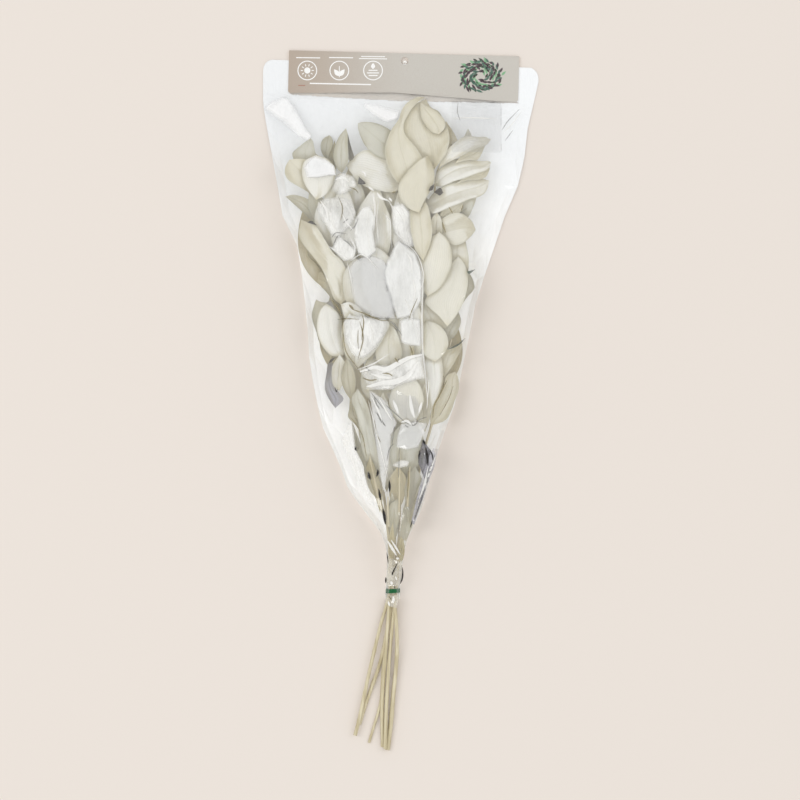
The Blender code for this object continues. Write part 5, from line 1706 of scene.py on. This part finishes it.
def card_spot(x, run):
    """A point of the card: run is 0 at the fold, negative down the back, positive down the front."""
    x, run = np.broadcast_arrays(np.asarray(x, float), np.asarray(run, float))
    quarter = math.pi / 2 * CARD_RADIUS
    turn = np.clip(run / quarter, -1, 1) * math.pi / 2
    past = np.maximum(np.abs(run) - quarter, 0)
    drop = CARD_RADIUS * (1 - np.cos(turn)) + past
    z = CARD_THICK / 2 + CARD_RADIUS + CARD_RADIUS * np.sin(turn)
    share = np.clip((drop - CARD_RADIUS) / (read_edge(CARD_FRONT_EDGE, x) - CARD_RADIUS), 0, 1)
    bulge = BULGE * np.exp(-((x - BULGE_X) / BULGE_WIDTH) ** 2)
    z = z + np.where(run > 0, bulge * share ** 2, 0)
    tilt = math.atan(CARD_TILT)
    px = CARD_X + x * math.cos(tilt) + drop * math.sin(tilt)
    py = CARD_FOLD + x * math.sin(tilt) - drop * math.cos(tilt)
    return np.stack([px, py, z], axis=-1)


def card_run(drop):
    """How far along the card a place lies that is drop below the fold on its front."""
    return drop - CARD_RADIUS + math.pi / 2 * CARD_RADIUS


def card_place(x, y):
    """Card coordinates of a point of the front half that is seen at x, y."""
    tilt = math.atan(CARD_TILT)
    dx, dy = x - CARD_X, y - CARD_FOLD
    return (dx * math.cos(tilt) + dy * math.sin(tilt),
            card_run(dx * math.sin(tilt) - dy * math.cos(tilt)))


def rounded_corner(x, y, start):
    """Points of a quarter circle, counted anticlockwise from a start angle in degrees."""
    return [(x + CARD_CORNER * math.cos(a), y + CARD_CORNER * math.sin(a))
            for a in np.radians(np.linspace(start, start + 90, 6))]


def card_outline():
    """The card laid flat: x across, run from the back half's edge to the front half's edge."""
    xs = np.linspace(-CARD_HALF + CARD_CORNER, CARD_HALF - CARD_CORNER, 60)
    back = [(x, -card_run(read_edge(CARD_BACK_EDGE, x))) for x in xs]
    front = [(x, card_run(read_edge(CARD_FRONT_EDGE, x))) for x in xs[::-1]]
    sides = np.arange(-CARD_SIDE, CARD_SIDE + 0.5, 2.0)
    return (back + rounded_corner(xs[-1], back[-1][1] + CARD_CORNER, -90)[1:]
            + [(CARD_HALF, s) for s in sides]
            + rounded_corner(xs[-1], front[0][1] - CARD_CORNER, 0) + front[1:]
            + rounded_corner(xs[0], front[-1][1] - CARD_CORNER, 90)[1:]
            + [(-CARD_HALF, s) for s in sides[::-1]]
            + rounded_corner(xs[0], back[0][1] + CARD_CORNER, 180)[:-1])


def face_up(surface, triangles, part=slice(None)):
    """The triangles, turned over if their normals on a part of the surface point down."""
    down = vertex_normals(surface, triangles)[part, 2].mean() < 0
    return triangles[:, ::-1] if down else triangles


def add_card(printed, inner):
    """The folded card with its punched hole, printed outside and pale inside."""
    across, run = card_place(HOLE_X, HOLE_Y)
    holes = [circle(across, side * run, HOLE_RADIUS, 32) for side in (1, -1)]
    flat, triangles = outline_mesh(card_outline(), holes, CARD_SPACING)
    surface = card_spot(flat[:, 0], flat[:, 1])
    triangles = face_up(surface, triangles, flat[:, 1] > 8)
    both, solid = thin_solid(surface, triangles, CARD_THICK)
    index = (np.arange(len(solid)) >= len(triangles)).astype(int)
    make_piece("fold_card", both, solid, [printed, inner], "card", ["header_card"], SHARP_CARD,
               index=index)


def ink_patch(outline, holes, lift):
    """A thin patch of ink on the card's front half, outlined as it is seen from above."""
    flat, triangles = outline_mesh(outline, holes, INK_SPACING)
    surface = card_spot(*card_place(flat[:, 0], flat[:, 1]))
    triangles = face_up(surface, triangles)
    normal = vertex_normals(surface, triangles)
    surface = surface + normal * (CARD_THICK / 2 + INK_THICK / 2 + lift)
    return thin_solid(surface, triangles, INK_THICK)


def blade(x, y, length, width, angle):
    """A small pointed leaf shape from its base, turned by an angle in degrees."""
    turn = math.radians(angle)
    s = np.linspace(0, 1, 10)
    half = width / 2 * np.sin(np.pi * s ** 0.85)
    side = list(zip(s * length, half)) + list(zip(s[-2:0:-1] * length, -half[-2:0:-1]))
    return [(x + a * math.cos(turn) - b * math.sin(turn),
             y + a * math.sin(turn) + b * math.cos(turn)) for a, b in side], []


def bar(x0, y0, x1, y1, thick):
    """A straight printed rule between two points."""
    length = math.hypot(x1 - x0, y1 - y0)
    nx, ny = -(y1 - y0) / length * thick / 2, (x1 - x0) / length * thick / 2
    s = np.linspace(0, 1, max(2, int(length / 4)))
    upper = [(x0 + (x1 - x0) * k + nx, y0 + (y1 - y0) * k + ny) for k in s[::-1]]
    lower = [(x0 + (x1 - x0) * k - nx, y0 + (y1 - y0) * k - ny) for k in s]
    return lower + upper, []


def badge_shapes():
    """Three ringed plain signs: a sun, a pair of leaves and a drop over lines."""
    outer, inner = BADGE_RADII
    shapes = [(circle(x, y, outer, 48), [circle(x, y, inner, 48)]) for x, y in BADGES]
    (sun_x, sun_y), (pair_x, pair_y), (drop_x, drop_y) = BADGES
    shapes.append((circle(sun_x, sun_y, 3.1, 24), []))
    for start, end in zip(circle(sun_x, sun_y, 4.3, 10), circle(sun_x, sun_y, 6.6, 10)):
        shapes.append(bar(*start, *end, 0.8))
    shapes += [blade(pair_x, pair_y - 5.5, 8.6, 4.6, angle) for angle in (128, 52)]
    shapes.append(bar(pair_x, pair_y - 6.8, pair_x, pair_y + 4.5, 0.8))
    for k, half in enumerate((4.5, 6.0, 4.5)):
        y = drop_y - 5 + k * 2.6
        shapes.append(bar(drop_x - half, y, drop_x + half, y, 1.1))
    shapes.append(blade(drop_x, drop_y + 1.6, 6.0, 4.2, 90))
    return shapes


def wreath_shapes(kind):
    """One colour of an oval wreath of small leaves that all lean the same way round."""
    random = np.random.default_rng(WREATH_SEED)
    shapes = []
    for number in range(WREATH_LEAVES):
        angle = WREATH_TURN * number
        reach = math.sqrt((number + WREATH_CORE) / (WREATH_LEAVES + WREATH_CORE))
        lean = math.degrees(angle) + random.uniform(*WREATH_LEAN)
        length = random.uniform(*WREATH_LENGTH)
        if number % len(WREATH_TONES) == kind:
            x = WREATH_X + WREATH_HALF_X * reach * math.cos(angle)
            y = WREATH_Y + WREATH_HALF_Y * reach * math.sin(angle)
            shapes.append(blade(x, y, length, WREATH_WIDTH, lean))
    return shapes


def add_print(name, shapes, material, lift=INK_LIFT):
    patches = [ink_patch(outline, holes, lift) for outline, holes in shapes]
    make_piece(name, *joined(patches), [material], "card")


def add_prints():
    white = ink_material("white_ink", linear(250, 250, 248))
    add_print("card_badges", badge_shapes(), white)
    add_print("card_rules", [bar(*rule) for rule in RULES], white)
    add_print("card_dash", [bar(*RED_RULE)], ink_material("red_ink", linear(168, 120, 104)))
    for kind, (tone, colour) in enumerate(WREATH_TONES.items()):
        add_print("card_sprig_" + tone, wreath_shapes(kind),
                  ink_material("ink_sprig_" + tone, linear(*colour)),
                  INK_LIFT + INK_STEP * kind)


# Label and band

def add_label(ground, material, edge):
    """The patch on the front film, with two cut corners and a darker rim on two sides."""
    (x0, y0), (x1, y1) = LABEL_LOW, LABEL_HIGH
    xs, ys = np.linspace(x0, x1, LABEL_POINTS), np.linspace(y0, y1, LABEL_POINTS)
    x, y = np.meshgrid(xs, ys)
    surface = np.stack([x, y, 0 * x], axis=2)
    surface[..., 2] = ground.height(surface) + GAP
    surface = lay_on(ground, surface, LABEL_GAP + LABEL_THICK / 2, LABEL_SETTLE)
    cut, high_cut = LABEL_LOW_CUT, LABEL_HIGH_CUT
    outline = [(x0, y0)] + [(x, y0) for x in xs[1:-1]]
    outline += [(x1 - cut, y0), (x1, y0 + cut)] + [(x1, y) for y in ys[2:-2]]
    outline += [(x1, y1 - high_cut), (x1 - cut, y1 - cut), (x1 - high_cut, y1)]
    outline += [(x, y1) for x in xs[-3:0:-1]]
    outline += [(x0, y1)] + [(x0, y) for y in ys[-2:0:-1]]
    flat, triangles = outline_mesh(outline, (), LABEL_SPACING)
    z = grid_value(ys, xs, surface[..., 2], flat[:, 1], flat[:, 0])
    both, solid = thin_solid(np.column_stack([flat, z]), triangles, LABEL_THICK)
    middle = flat[triangles].mean(axis=1)
    index = np.zeros(len(solid), int)
    index[:len(triangles)] = (x1 - middle[:, 0] < LABEL_RIM) | (middle[:, 1] - y0 < LABEL_RIM)
    index[2 * len(triangles):] = 1
    make_piece("label_patch", both, solid, [material, edge], "label", ["clear_label"],
               index=index)


def add_band(material):
    """A flat elastic ring drawn tight round the neck, with a slightly rounded section."""
    section = [[math.copysign(abs(part) ** BAND_SQUARE, part) for part in spot]
               for spot in circle(0, 0, 1, BAND_SIDES)]
    points = []
    for angle in 2 * math.pi * np.arange(BAND_STEPS) / BAND_STEPS:
        pinch = 1 + BAND_PINCH * math.sin(5 * angle)
        for out, along in section:
            radius = (BAND_RADIUS + out * BAND_HALF_THICK) * pinch
            points.append((NECK_X + radius * math.cos(angle),
                           NECK_Y + along * BAND_HALF + BAND_LEAN * math.cos(angle),
                           NECK_Z + radius * math.sin(angle)))
    make_piece("elastic_tie", points, tube_faces(BAND_STEPS, BAND_SIDES, True), [material], "band",
               ["neck_band"], SHARP_PLANT)


def build():
    add_camera()
    add_studio()
    leaves = {tone: leaf_material(tone + "_leaf", *[linear(*colour) for colour in colours])
              for tone, colours in LEAF_TONES.items()}
    films = {kind: film_material(kind + "_film", **look) for kind, look in FILM_KINDS.items()}
    stem = stem_material("dry_stem", linear(224, 215, 186), linear(182, 168, 130))
    ground = Ground()
    back = add_back_film(ground, backing_material(), films["clear"])
    laid = add_back_leaves(ground, leaves)
    for name, (low, high, route) in STEMS.items():
        add_stem(ground, name, low, high, route, stem)
    laid += add_front_leaves(ground, leaves)
    for name, (radius, route) in STALKS.items():
        add_stalk(ground, name, radius, route, stem)
    paint_overlap_shade(ground, laid)
    front = add_front_film(ground, films["clear"])
    for name, (outline, size, height, kind) in FOLDS.items():
        add_fold(ground, name, outline, size, height, films[kind], FILM_KINDS[kind].get("fade", 1.0))
    add_creases(ground)
    add_label(ground, film_material("label_film", 0.04, (0.99, 0.99, 0.99, 1.0)),
              ink_material("label_edge", linear(196, 197, 198)))
    add_card(paper_material("printed_card", linear(183, 169, 155), linear(203, 199, 191)),
             paper_material("card_inside", linear(250, 240, 226), linear(252, 244, 234)))
    add_prints()
    add_band(elastic_material())


build()
